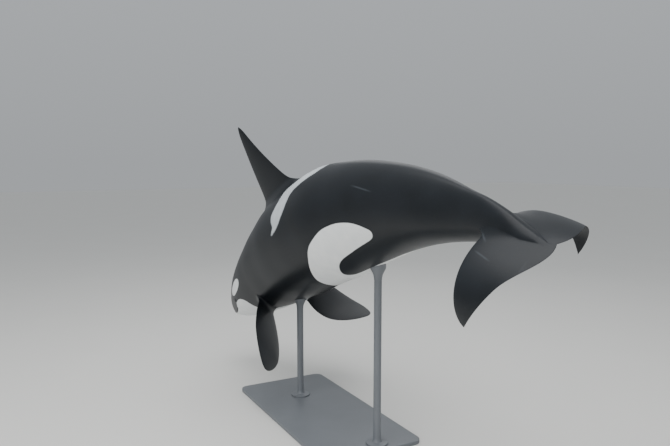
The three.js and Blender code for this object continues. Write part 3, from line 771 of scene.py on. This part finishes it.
def flipper_piece(body, sizes, name, side, sweep, droop, feather, curl):
    """One flipper, a broad paddle."""
    root = body.skin(np.array([FLIPPER_SHARE]), np.array([side * FLIPPER_ANGLE]), plain=True)[0]
    turn = body.frame(np.array([FLIPPER_SHARE]))[1][0]
    back, down, tilt = np.radians([sweep, droop, feather])
    along = np.array([-math.sin(back), side * math.cos(down) * math.cos(back),
                      -math.sin(down) * math.cos(back)])
    level = np.array([1.0, 0, 0]) + along * math.sin(back)
    level /= np.linalg.norm(level)
    upper = np.cross(level, along) * side
    lead = level * math.cos(tilt) + upper * math.sin(tilt)
    face = upper * math.cos(tilt) - level * math.sin(tilt)
    along, lead, face = turn @ along, turn @ lead, turn @ face

    def outline(e):
        reach, thicker = FLIPPER_FLARE
        swell = np.sin(np.pi * np.clip(e, 0, 1) * FLIPPER_SWELL)
        front = -FLIPPER_CHORD * (FLIPPER_FRONT[0] + FLIPPER_FRONT[1] * swell)
        rear = FLIPPER_CHORD * (FLIPPER_REAR[0] + FLIPPER_REAR[1] * swell)
        thick = lerp(*FLIPPER_THICK, np.maximum(e, 0)) + thicker * foot_flare(e, reach)
        full = tip_rounding(e, FLIPPER_ROUND) * (1 + ROOT_TAPER * np.minimum(e, 0))
        return front * full, rear * full, thick * np.sqrt(full)

    def place(x, reach, half):
        out, bend = arc_reach(reach, curl)
        turned_by = math.radians(curl) * reach
        length = sizes.flipper_length
        return root + np.outer(length * out + half * np.sin(turned_by), along) \
            + np.outer(half * np.cos(turned_by) - length * bend, face) - np.outer(x, lead)

    return blade_piece(f"flipper_{name}", FLIPPER_INSIDE, outline, place, body, FLIPPER_FILLET)


def running_sum(rates, step):
    """Sum of rates from the first one, by the trapezium rule."""
    return np.concatenate([[0], np.cumsum(rates) * step])


def fluke_piece(body, sizes, name, side, skew, curl, sharpness):
    """One side of the tail flukes."""
    root, turn = body.frame(np.array([FLUKE_SHARE]))
    root, turn = root[0], turn[0] @ turned(FLUKE_YAW, FLUKE_PITCH, FLUKE_ROLL)
    bias = math.radians(skew)
    span = sizes.fluke_span * math.cos(bias) + FLUKE_TIP_AFT * math.sin(bias)
    steps = np.linspace(0, CURL_END, CURL_STEPS)
    angles = np.radians(FLUKE_DROOP) + np.radians(curl) * steps ** sharpness
    between = (angles[1:] + angles[:-1]) / 2
    outs, downs = [running_sum(rates, steps[1]) for rates in (np.cos(between), np.sin(between))]

    def outline(station):
        e = np.clip(station, 0, 1)
        front = -FLUKE_LEAD + (FLUKE_TIP_AFT + FLUKE_LEAD) * e ** FLUKE_SWEEP
        inner = np.minimum(e / LOBE_REACH, 1)
        lobe = FLUKE_LOBE * LOBE_PEAK * inner * np.square(1 - inner)
        rear = lerp(FLUKE_CHORD, FLUKE_TIP_AFT, e) + lobe + FLUKE_FULLNESS * np.sin(np.pi * e)
        full = tip_rounding(e, FLUKE_ROUND)
        inset = np.minimum(station, 0)
        front, rear = front - STUB_FRONT * inset, rear + STUB_REAR * inset
        middle = (front + rear) / 2
        thick = lerp(*FLUKE_THICK, e ** FLUKE_THINNING) * full * (1 + STUB_THINNING * inset)
        return lerp(middle, front, full), lerp(middle, rear, full), thick

    def place(x, reach, half):
        middle = FLUKE_CHORD / 2
        reach = reach * sizes.fluke_span
        across = reach * math.cos(bias) + (x - middle) * math.sin(bias)
        along = (x - middle) * math.cos(bias) - reach * math.sin(bias)
        t = np.maximum(across, 0) / span
        out, down, angle = [np.interp(t, steps, values) for values in (outs, downs, angles)]
        far = out * span + np.minimum(across, 0) + half * np.sin(angle)
        aft = along * math.cos(bias) + far * math.sin(bias) + middle
        left = -along * math.sin(bias) + far * math.cos(bias)
        up = half * np.cos(angle) - down * span
        return root + np.stack([-aft, side * left, up], -1) @ turn.T

    return blade_piece(f"fluke_{name}", FLUKE_INSIDE, outline, place, body, FLUKE_FILLET)


def eye_ball(body, radius, side):
    """Place and axes of an eyeball, whose crown stands just over the plain skin."""
    axes, place = body.skin_frame(EYE_SHARE, side * EYE_ANGLE)
    return axes, place + axes[:, 2] * (EYE_RISE - radius)


def eye_socket_cutters(body, radius, side):
    """A ball for the socket, and an oval plug for the opening between the lids."""
    axes, centre = eye_ball(body, radius, side)
    deselect()
    bpy.ops.mesh.primitive_uv_sphere_add(segments=64, ring_count=32, radius=radius + CUT_GAP,
                                         location=centre)
    socket = bpy.context.object
    settle(socket)
    deselect()
    bpy.ops.mesh.primitive_cylinder_add(vertices=72, radius=1, depth=1)
    plug = bpy.context.object
    local = points_of(plug) * np.array([*LID_OPENING, PLUG_DEPTH]) + np.array([0, 0, PLUG_RISE])
    move_points(plug, local @ axes.T + centre)
    close_up(plug)
    return socket, plug


def blowhole_cutter(body):
    """A bent tube for the blowhole's slit, its horns toward the snout."""
    axes, place = body.skin_frame(BLOWHOLE_SHARE, 0)
    deselect()
    bpy.ops.mesh.primitive_cylinder_add(vertices=24, radius=BLOWHOLE_BORE, depth=1, end_fill_type="TRIFAN")
    tube = bpy.context.object
    cut_rings(tube, [-0.5 + step / BLOWHOLE_RINGS for step in range(1, BLOWHOLE_RINGS)])
    points = points_of(tube)
    angle = np.radians(points[:, 2] * 2 * BLOWHOLE_SPAN)
    taper = np.sqrt(np.maximum(1 - np.square(points[:, 2] * 2) ** 3, BLOWHOLE_HORN))
    radius = BLOWHOLE_ARC + points[:, 0] * taper
    local = np.stack([BLOWHOLE_ARC * 0.5 - radius * np.cos(angle), radius * np.sin(angle),
                      BLOWHOLE_RISE + points[:, 1] * taper * BLOWHOLE_DEEPER], -1)
    move_points(tube, local @ axes.T + place)
    close_up(tube)
    return tube


def mark_faces(piece, kind):
    """Numbers all the faces of a piece, so that joins between pieces can be found."""
    piece.data.polygons.foreach_set("material_index", np.full(len(piece.data.polygons), kind, dtype=np.int32))


def soften_joins(piece):
    """Smooths the skin where a blade meets the body."""
    faces, loops = piece.data.polygons, piece.data.loops
    kinds, totals = np.empty((2, len(faces)), dtype=np.int32)
    faces.foreach_get("material_index", kinds)
    faces.foreach_get("loop_total", totals)
    corners = np.empty(len(loops), dtype=np.int32)
    loops.foreach_get("vertex_index", corners)
    kinds = np.repeat(kinds, totals)
    low = np.full(len(piece.data.vertices), kinds.max())
    high = np.full(len(piece.data.vertices), kinds.min())
    np.minimum.at(low, corners, kinds)
    np.maximum.at(high, corners, kinds)
    choose_vertices(piece, low != high)
    bpy.ops.mesh.select_more()
    bpy.ops.mesh.remove_doubles(threshold=JOIN_MERGE)
    bpy.ops.mesh.select_more()
    bpy.ops.mesh.select_more()
    bpy.ops.mesh.vertices_smooth(factor=SMOOTH_SHARE, repeat=JOIN_PASSES)
    finish_edit()
    mark_faces(piece, 0)


def soften_ridge_end(piece, body):
    """Smooths the skin where the stock's ridge runs out between the flukes."""
    ridge_end = body.skin(np.array([RIDGE_END]), np.zeros(1), plain=True)
    choose_vertices(piece, np.linalg.norm(points_of(piece) - ridge_end, axis=1) < RIDGE_END_REACH)
    bpy.ops.mesh.vertices_smooth(factor=SMOOTH_SHARE, repeat=RIDGE_END_PASSES)
    finish_edit()


def rounded_outline(points):
    """A closed smooth line through points."""
    points = np.array(points, float)
    count = len(points)
    rows = []
    for i in range(count):
        a, b, c, d = (points[(i + k) % count] for k in (-1, 0, 1, 2))
        for t in np.linspace(0, 1, OUTLINE_STEPS, endpoint=False):
            square = (2 * a - 5 * b + 4 * c - d) * t * t
            cube = (3 * b - a - 3 * c + d) * t ** 3
            rows.append(0.5 * (2 * b + (c - a) * t + square + cube))
    return np.array(rows)


def inside_distance(x, y, outline):
    """Signed distance to a closed line, positive inside it."""
    best = np.full(len(x), np.inf)
    crossings = np.zeros(len(x), dtype=int)
    for a, b in zip(outline, np.roll(outline, -1, axis=0)):
        edge = b - a
        t = np.clip(((x - a[0]) * edge[0] + (y - a[1]) * edge[1]) / max(edge @ edge, TINY), 0, 1)
        best = np.minimum(best, np.hypot(x - a[0] - t * edge[0], y - a[1] - t * edge[1]))
        spans = (a[1] > y) != (b[1] > y)
        if abs(edge[1]) > TINY:
            crossings += spans & (x < a[0] + (y - a[1]) / edge[1] * edge[0])
    return np.where(crossings % 2 == 1, best, -best)


def patch_distance(body, share, angle, outline):
    """Distance inside a marking whose edge is told as shares and angles."""
    line = rounded_outline(outline)
    above, _, width, _ = body.size(np.clip(line[:, 0], FIRST_SHARE, 1))
    mean_radius = float(np.mean((above + width) / 2))
    above, _, width, _ = body.size(np.maximum(share, FIRST_SHARE))
    line = np.stack([line[:, 0] * body.length, np.radians(line[:, 1]) * mean_radius], -1)
    distance = inside_distance(share * body.length, np.radians(np.abs(angle)) * mean_radius, line)
    return distance * np.clip((above + width) / 2 / mean_radius, *GIRTH_RANGE)


def mark_skin(piece, body):
    """Keeps each marking on the skin as a distance inside its edge, in metres."""
    share, angle, height = body.locate(points_of(piece))
    underside = THROAT_EDGE + THROAT_REAR + BELLY_EDGE + FLANK_FRONT + FLANK_TOP + FLANK_UNDER
    underside = underside + TONGUE + VENT_EDGE + PAST_BELLY
    white = np.maximum(patch_distance(body, share, angle, underside),
                       patch_distance(body, share, angle, EYE_PATCH))
    saddle = patch_distance(body, share, angle, SADDLE_FRONT + SADDLE_REAR + PAST_BACK)
    white = np.minimum(white, WHITE_HEIGHT - height)
    saddle = np.minimum(saddle, SADDLE_HEIGHT - height)
    for name, values in (("white_patch", white), ("saddle_patch", saddle)):
        attribute = piece.data.attributes.new(name, "FLOAT", "POINT")
        attribute.data.foreach_set("value", np.clip(values, -FARTHEST, FARTHEST))
    above, _, width, _ = body.size(np.maximum(share, FIRST_SHARE))
    place = np.stack([share * body.length, np.radians(np.abs(angle)) * (above + width) / 2, height], -1)
    attribute = piece.data.attributes.new("skin_place", "FLOAT_VECTOR", "POINT")
    attribute.data.foreach_set("vector", place.ravel())


def node(tree, kind, inputs=None, **settings):
    """Adds a shader node. Each input is a value, or the node or the socket that feeds it."""
    made = tree.nodes.new(kind)
    made.location = (NODE_STEP * len(tree.nodes), 0)
    for key, value in settings.items():
        setattr(made, key, value)
    for key, value in (inputs or {}).items():
        if isinstance(value, bpy.types.Node):
            value = value.outputs[0]
        if isinstance(value, bpy.types.NodeSocket):
            tree.links.new(value, made.inputs[key])
        else:
            made.inputs[key].default_value = value
    return made


def layered(tree, colour, layers):
    """Lays colours over a first one, each by its mask."""
    for mask, over in layers:
        mix = node(tree, "ShaderNodeMix", {0: mask, "A": colour, "B": over}, data_type="RGBA")
        colour = mix.outputs[2]
    return colour


def new_material(name):
    material = bpy.data.materials.new(name)
    material.use_nodes = True
    material.node_tree.nodes.clear()
    return material, material.node_tree


def surface(tree, inputs):
    """Ends a material in a surface with these inputs."""
    shader = node(tree, "ShaderNodeBsdfPrincipled", inputs)
    node(tree, "ShaderNodeOutputMaterial", {"Surface": shader})


def object_place(tree):
    return node(tree, "ShaderNodeTexCoord").outputs["Object"]


def edge_mask(tree, name, width, waver, coords):
    """Soft threshold of a marking's distance, its edge wavering a little."""
    distance = node(tree, "ShaderNodeAttribute", attribute_name=name).outputs["Fac"]
    noise = node(tree, "ShaderNodeTexNoise", {"Vector": coords, "Scale": WAVER_SCALE, "Detail": 3.0})
    shifted = node(tree, "ShaderNodeMath", {0: noise, 1: 0.5}, operation="SUBTRACT")
    scaled = node(tree, "ShaderNodeMath", {0: shifted, 1: waver}, operation="MULTIPLY")
    total = node(tree, "ShaderNodeMath", {0: distance, 1: scaled}, operation="ADD")
    return node(tree, "ShaderNodeMapRange", {"Value": total, "From Min": -width, "From Max": width},
                interpolation_type="SMOOTHSTEP")


def scratch_and_crease_highlight_mask(tree, coords, start, end):
    """One thin line on the skin between two places, fading at both ends. Some are scratches, some are painted
    highlights along creases.
    """
    way = Vector(end) - Vector(start)
    from_start = node(tree, "ShaderNodeVectorMath", {0: coords, 1: start}, operation="SUBTRACT")
    along = node(tree, "ShaderNodeVectorMath", {0: from_start, 1: tuple(way / way.length_squared)},
                 operation="DOT_PRODUCT").outputs["Value"]
    aside = node(tree, "ShaderNodeVectorMath", {0: from_start, 1: tuple(way.normalized())},
                 operation="CROSS_PRODUCT")
    far = node(tree, "ShaderNodeVectorMath", {0: aside}, operation="LENGTH").outputs["Value"]
    near = node(tree, "ShaderNodeMapRange", {"Value": far, "From Min": SCRATCH_AND_CREASE_LINE_WIDTH, "From Max": 0.0})
    middle = node(tree, "ShaderNodeMath", {0: along, 1: 0.5}, operation="SUBTRACT")
    away = node(tree, "ShaderNodeMath", {0: middle}, operation="ABSOLUTE")
    ends = node(tree, "ShaderNodeMapRange", {"Value": away, "From Min": 0.5, "From Max": 0.2, "To Max": 0.8})
    return node(tree, "ShaderNodeMath", {0: near, 1: ends}, operation="MULTIPLY")


def rake_mask(tree, coords):
    """Rake marks: thin lines about 50 mm apart, in a few patches."""
    place = node(tree, "ShaderNodeAttribute", attribute_name="skin_place").outputs["Vector"]
    squeeze = node(tree, "ShaderNodeMapping", {"Vector": place, "Scale": (1.0, 6.0, 1.0)})
    rake = node(tree, "ShaderNodeTexWave",
                {"Vector": squeeze, "Scale": 1.1, "Distortion": 7.0, "Detail": 3.0, "Detail Scale": 0.35},
                bands_direction="Y").outputs["Fac"]
    line = node(tree, "ShaderNodeMapRange", {"Value": rake, "From Min": 0.975, "From Max": 1.0})
    patch = node(tree, "ShaderNodeTexNoise", {"Vector": coords, "Scale": RAKE_PATCH_SCALE, "Detail": 2.0})
    where = node(tree, "ShaderNodeMapRange",
                 {"Value": patch, "From Min": 0.62, "From Max": 0.7, "To Max": 0.22})
    return node(tree, "ShaderNodeMath", {0: line, 1: where}, operation="MULTIPLY")


def wet_skin(colours):
    """Smooth, rubbery, wet orca skin. The eye sees a soft gloss on slate black and clean white."""
    material, tree = new_material("orca skin, smooth and wet")
    coords = object_place(tree)
    # Broad clouding of the black and fine flecks on it, then rake marks, then scratches and painted
    # highlights along creases, 140 to 320 mm long
    cloud = node(tree, "ShaderNodeTexNoise",
                 {"Vector": coords, "Scale": CLOUD_SCALE, "Detail": 5.0, "Roughness": 0.55})
    fleck = node(tree, "ShaderNodeTexNoise", {"Vector": coords, "Scale": FLECK_SCALE, "Detail": 3.0})
    flecks = node(tree, "ShaderNodeMapRange",
                  {"Value": fleck, "From Min": 0.62, "From Max": 0.8, "To Max": 0.25})
    scars_and_crease_highlights = [flecks, rake_mask(tree, coords)]
    # Pale lines for the scratches, and painted highlights along the creases
    scars_and_crease_highlights += [scratch_and_crease_highlight_mask(tree, coords, start, end) for start, end in SCRATCHES_AND_CREASE_HIGHLIGHTS]
    black = layered(tree, linear(DEEP_BLACK),
                    [(cloud, list(colours.black))] + [(mask, linear(SCAR_AND_CREASE_HIGHLIGHT_GREY)) for mask in scars_and_crease_highlights])
    # The pale patches are a little uneven and their edges are soft
    shade = node(tree, "ShaderNodeTexNoise", {"Vector": coords, "Scale": SHADE_SCALE, "Detail": 4.0})
    saddle = layered(tree, linear(SADDLE_SHADE), [(shade, list(colours.saddle))])
    white = layered(tree, linear(PATCH_SHADE), [(shade, list(colours.white))])
    colour = layered(tree, black, [(edge_mask(tree, "saddle_patch", 0.014, 0.012, coords), saddle),
                                   (edge_mask(tree, "white_patch", 0.004, 0.006, coords), white)])
    rough = node(tree, "ShaderNodeMapRange", {"Value": cloud, "To Min": 0.34, "To Max": 0.48})
    pores = node(tree, "ShaderNodeTexNoise", {"Vector": coords, "Scale": PORE_SCALE, "Detail": 4.0})
    lift = node(tree, "ShaderNodeBump", {"Height": pores, "Strength": 0.12, "Distance": 0.002})
    surface(tree, {"Base Color": colour, "Roughness": rough, "Normal": lift, "Specular IOR Level": 0.22,
                   "Coat Weight": 0.05, "Coat Roughness": 0.22})
    return material


class ORCA_OT_skin(bpy.types.Operator):
    """Builds the whole skin: body, fins, flippers and flukes in one piece."""

    bl_idname = "orca.skin"
    bl_label = "Skin"

    def execute(self, context):
        sizes = context.scene.orca_sizes
        body = Body(sizes.body_length)
        piece = body_piece(body)
        for name in ("body", "blade"):
            piece.data.materials.append(bpy.data.materials.new(name))
        for side in (1, -1):
            for cutter in eye_socket_cutters(body, sizes.eye_radius, side):
                combine(piece, cutter, "DIFFERENCE")
        combine(piece, blowhole_cutter(body), "DIFFERENCE")
        blades = [dorsal_piece(body, sizes)]
        blades += [flipper_piece(body, sizes, name, **lie) for name, lie in FLIPPERS.items()]
        blades += [fluke_piece(body, sizes, name, **lie) for name, lie in FLUKES.items()]
        for blade in blades:
            for slot in piece.data.materials:
                blade.data.materials.append(slot)
            mark_faces(blade, 1)
            combine(piece, blade, "UNION")
        soften_joins(piece)
        soften_ridge_end(piece, body)
        mark_skin(piece, body)
        activate(piece)
        bpy.ops.object.shade_smooth()
        flesh = ["head", "lower_jaw", "torso_front", "torso_middle", "torso_rear", "tail_stock", "dorsal_fin",
                 "flipper_left", "flipper_right", "fluke_left", "fluke_right"]
        dress(piece, wet_skin(context.scene.orca_colours), flesh)
        return {"FINISHED"}


def eye_finish():
    """Living eye, wet and glassy. Brown iris round a wide, level pupil, under a clear gloss."""
    material, tree = new_material("eye, wet cornea over brown iris")
    from_pupil = node(tree, "ShaderNodeAttribute", attribute_name="from_pupil").outputs["Fac"]
    from_middle = node(tree, "ShaderNodeAttribute", attribute_name="from_middle").outputs["Fac"]
    fleck = node(tree, "ShaderNodeTexNoise",
                 {"Vector": object_place(tree), "Scale": IRIS_SCALE, "Detail": 3.0})
    iris = layered(tree, linear(EYE_RIM), [(fleck, linear(IRIS_BROWN))])
    inner = node(tree, "ShaderNodeMapRange", {"Value": from_pupil, "From Min": 0.95, "From Max": 1.05})
    outer = node(tree, "ShaderNodeMapRange", {"Value": from_middle, "From Min": 0.50, "From Max": 0.62})
    colour = layered(tree, linear(PUPIL_BLACK), [(inner, iris), (outer, linear(EYE_RIM))])
    surface(tree, {"Base Color": colour, "Roughness": 0.05, "Coat Weight": 0.3, "Coat Roughness": 0.03})
    return material


class ORCA_OT_eyes(bpy.types.Operator):
    """Builds both eyeballs, each with a low clear bulge over its iris."""

    bl_idname = "orca.eyes"
    bl_label = "Eyes"

    def execute(self, context):
        sizes = context.scene.orca_sizes
        body = Body(sizes.body_length)
        finish = eye_finish()
        for name, side in (("left", 1), ("right", -1)):
            axes, centre = eye_ball(body, sizes.eye_radius, side)
            deselect()
            bpy.ops.mesh.primitive_uv_sphere_add(segments=64, ring_count=40, radius=sizes.eye_radius)
            piece = bpy.context.object
            piece.name = f"orca_eye_{name}"
            points = points_of(piece)
            away = np.arccos(np.clip(points[:, 2] / sizes.eye_radius, -1, 1))
            # The rear half counts as far outside the pupil
            oval = np.hypot(points[:, 0] / PUPIL_REACH[0], points[:, 1] / PUPIL_REACH[1])
            oval = np.where(points[:, 2] > 0, oval, 9)
            for label, values in (("from_middle", away), ("from_pupil", oval)):
                attribute = piece.data.attributes.new(label, "FLOAT", "POINT")
                attribute.data.foreach_set("value", values)
            groove = LIMBUS_GROOVE * bump((away - LIMBUS_ANGLE) / LIMBUS_WIDTH)
            move_points(piece, points * (1 - groove)[:, None] @ axes.T + centre)
            activate(piece)
            bpy.ops.object.shade_smooth()
            dress(piece, finish, [f"eye_{name}"])
        return {"FINISHED"}


def stand_paint(colours):
    """Powder-coated steel. A fine orange-peel texture and a satin sheen."""
    material, tree = new_material("steel, powder coated satin grey")
    coords = object_place(tree)
    tone = node(tree, "ShaderNodeTexNoise", {"Vector": coords, "Scale": PAINT_TONE_SCALE, "Detail": 4.0})
    colour = layered(tree, dimmed(colours.stand, STAND_DARKER), [(tone, list(colours.stand))])
    peel = node(tree, "ShaderNodeTexNoise", {"Vector": coords, "Scale": PEEL_SCALE, "Detail": 2.0})
    lift = node(tree, "ShaderNodeBump", {"Height": peel, "Strength": 0.2, "Distance": 0.0005})
    surface(tree, {"Base Color": colour, "Roughness": 0.42, "Normal": lift})
    return material


def base_piece(stand):
    """A flat steel plate with round corners and softened rims."""
    deselect()
    bpy.ops.mesh.primitive_cube_add(size=1, location=(0, 0, stand.thickness / 2))
    piece = bpy.context.object
    piece.name = "base_plate"
    piece.scale = (stand.length, stand.width, stand.thickness)
    settle(piece)
    choose_edges(piece, lambda a, b: abs(a.x - b.x) + abs(a.y - b.y) < LEAST)
    bpy.ops.mesh.bevel(offset=BASE_CORNER, segments=CORNER_SEGMENTS, affect="EDGES")
    finish_edit()
    choose_edges(piece, lambda a, b: abs(a.z - b.z) < LEAST)
    bpy.ops.mesh.bevel(offset=BASE_RIM, segments=RIM_SEGMENTS, affect="EDGES")
    finish_edit()
    return piece


def rod_profile(foot, cup, top, radius):
    """Heights and radii of a rod, from its foot to inside the body."""
    rows = [(foot + rise, ROD_FOOT + wider) for rise, wider in FOOT_PROFILE]
    rows += [(foot + rise, radius + wider) for rise, wider in ANKLE_PROFILE]
    rows += [(cup + rise, radius + wider) for rise, wider in NECK_PROFILE]
    rows += [(cup + CUP_BELOW, ROD_CUP), (top, ROD_CUP)]
    return zip(*rows)


def rod_piece(name, body, stand, along, aside, share):
    """A turned rod with a foot and a cup. It isn't cut at the skin, and its top is inside the body."""
    foot = stand.thickness + CUT_GAP
    top = body.frame(np.array([share]))[0][0][2]
    low = body.skin(np.array([share]), np.array([180.0]), plain=True)[0][2]
    heights, radii = rod_profile(foot, min(low, top) + CUP_RISE, top, stand.rod_radius)
    deselect()
    bpy.ops.mesh.primitive_cylinder_add(vertices=ROD_SIDES, radius=1, depth=top - foot,
                                        location=(0, 0, (top + foot) / 2))
    piece = bpy.context.object
    piece.name = name
    settle(piece)
    cut_rings(piece, heights[1:-1])
    points = points_of(piece)
    points[:, :2] *= np.interp(points[:, 2], heights, radii)[:, None]
    points[:, :2] += (along, aside)
    move_points(piece, points)
    close_up(piece)
    return piece


class ORCA_OT_stand(bpy.types.Operator):
    """Builds the stand's base plate and its two rods."""

    bl_idname = "orca.stand"
    bl_label = "Display stand"

    def execute(self, context):
        stand = context.scene.stand_sizes
        body = Body(context.scene.orca_sizes.body_length)
        pieces = {"stand_base": base_piece(stand)}
        for name, lie in RODS.items():
            pieces[f"stand_rod_{name}"] = rod_piece(f"rod_{name}", body, stand, **lie)
        paint = stand_paint(context.scene.orca_colours)
        for name, piece in pieces.items():
            activate(piece)
            bpy.ops.object.shade_smooth_by_angle(angle=math.radians(SMOOTH_ANGLE))
            dress(piece, paint, [name])
        return {"FINISHED"}


def aimed(place, way):
    """Turns a lamp or a camera to look along a way."""
    place.rotation_euler = Vector(way).to_track_quat("-Z", "Y").to_euler()


def area_light(name, place, size, watts):
    light = bpy.data.lights.new(name, "AREA")
    light.shape = "SQUARE"
    light.size = size
    light.energy = watts
    lamp = bpy.data.objects.new(name, light)
    bpy.context.scene.collection.objects.link(lamp)
    lamp.location = place
    aimed(lamp, Vector(LIGHT_TARGET) - Vector(place))


def studio_light():
    """Even light from all round, paler overhead, that meets the far floor without an edge."""
    world = bpy.data.worlds.new("studio")
    world.use_nodes = True
    tree = world.node_tree
    ways = node(tree, "ShaderNodeTexCoord").outputs["Generated"]
    rise = node(tree, "ShaderNodeSeparateXYZ", {0: ways}).outputs[2]
    share = node(tree, "ShaderNodeMapRange", {"Value": rise})
    colour = layered(tree, dimmed(SKY_LIGHT, HORIZON_SHARE), [(share, dimmed(SKY_LIGHT, 1))])
    tree.links.new(colour, tree.nodes["Background"].inputs[0])
    return world


def floor_paint():
    """Matt paint on a studio floor. The eye sees an even pale grey with slow changes of tone."""
    material, tree = new_material("studio floor, matt paint")
    tone = node(tree, "ShaderNodeTexNoise",
                {"Vector": object_place(tree), "Scale": FLOOR_TONE_SCALE, "Detail": 3.0})
    pale = linear(FLOOR_GREY)
    colour = layered(tree, dimmed(pale, FLOOR_DARKER), [(tone, pale)])
    surface(tree, {"Base Color": colour, "Roughness": 0.7})
    return material


class ORCA_OT_stage(bpy.types.Operator):
    """Adds the floor, the studio light and the camera."""

    bl_idname = "orca.stage"
    bl_label = "Stage"

    def execute(self, context):
        deselect()
        bpy.ops.mesh.primitive_plane_add(size=FLOOR_SIZE, location=(0, 0, 0))
        floor = bpy.context.object
        floor.name = "floor"
        floor.data.materials.append(floor_paint())
        for name, (place, size, watts) in LIGHTS.items():
            area_light(name, place, size, watts)
        context.scene.world = studio_light()
        lens = bpy.data.cameras.new("camera")
        lens.sensor_width = SENSOR
        lens.lens = FOCAL_PIXELS / PICTURE_WIDTH * SENSOR
        lens.clip_end = VIEW_END
        camera = bpy.data.objects.new("camera", lens)
        context.scene.collection.objects.link(camera)
        camera.location = CAMERA_PLACE
        aimed(camera, CAMERA_LOOK)
        context.scene.camera = camera
        return {"FINISHED"}


class ORCA_PT_panel(bpy.types.Panel):
    """Sizes, colours and the steps that build the model."""

    bl_idname = "ORCA_PT_panel"
    bl_label = "Orca"
    bl_space_type = "VIEW_3D"
    bl_region_type = "UI"
    bl_category = "Orca"

    def draw(self, context):
        layout = self.layout
        scene = context.scene
        for group in (scene.orca_sizes, scene.orca_colours, scene.stand_sizes):
            for name in group.__annotations__:
                layout.prop(group, name)
        for step in STEPS:
            layout.operator(step.bl_idname)


STEPS = (ORCA_OT_skin, ORCA_OT_eyes, ORCA_OT_stand, ORCA_OT_stage)
CLASSES = (OrcaSizes, OrcaColours, StandSizes) + STEPS + (ORCA_PT_panel,)


def register():
    for item in CLASSES:
        bpy.utils.register_class(item)
    bpy.types.Scene.orca_sizes = bpy.props.PointerProperty(type=OrcaSizes)
    bpy.types.Scene.orca_colours = bpy.props.PointerProperty(type=OrcaColours)
    bpy.types.Scene.stand_sizes = bpy.props.PointerProperty(type=StandSizes)


def unregister():
    del bpy.types.Scene.stand_sizes
    del bpy.types.Scene.orca_colours
    del bpy.types.Scene.orca_sizes
    for item in reversed(CLASSES):
        bpy.utils.unregister_class(item)


def main():
    register()
    for step in (bpy.ops.orca.skin, bpy.ops.orca.eyes, bpy.ops.orca.stand, bpy.ops.orca.stage):
        step()


if __name__ == "__main__":
    main()
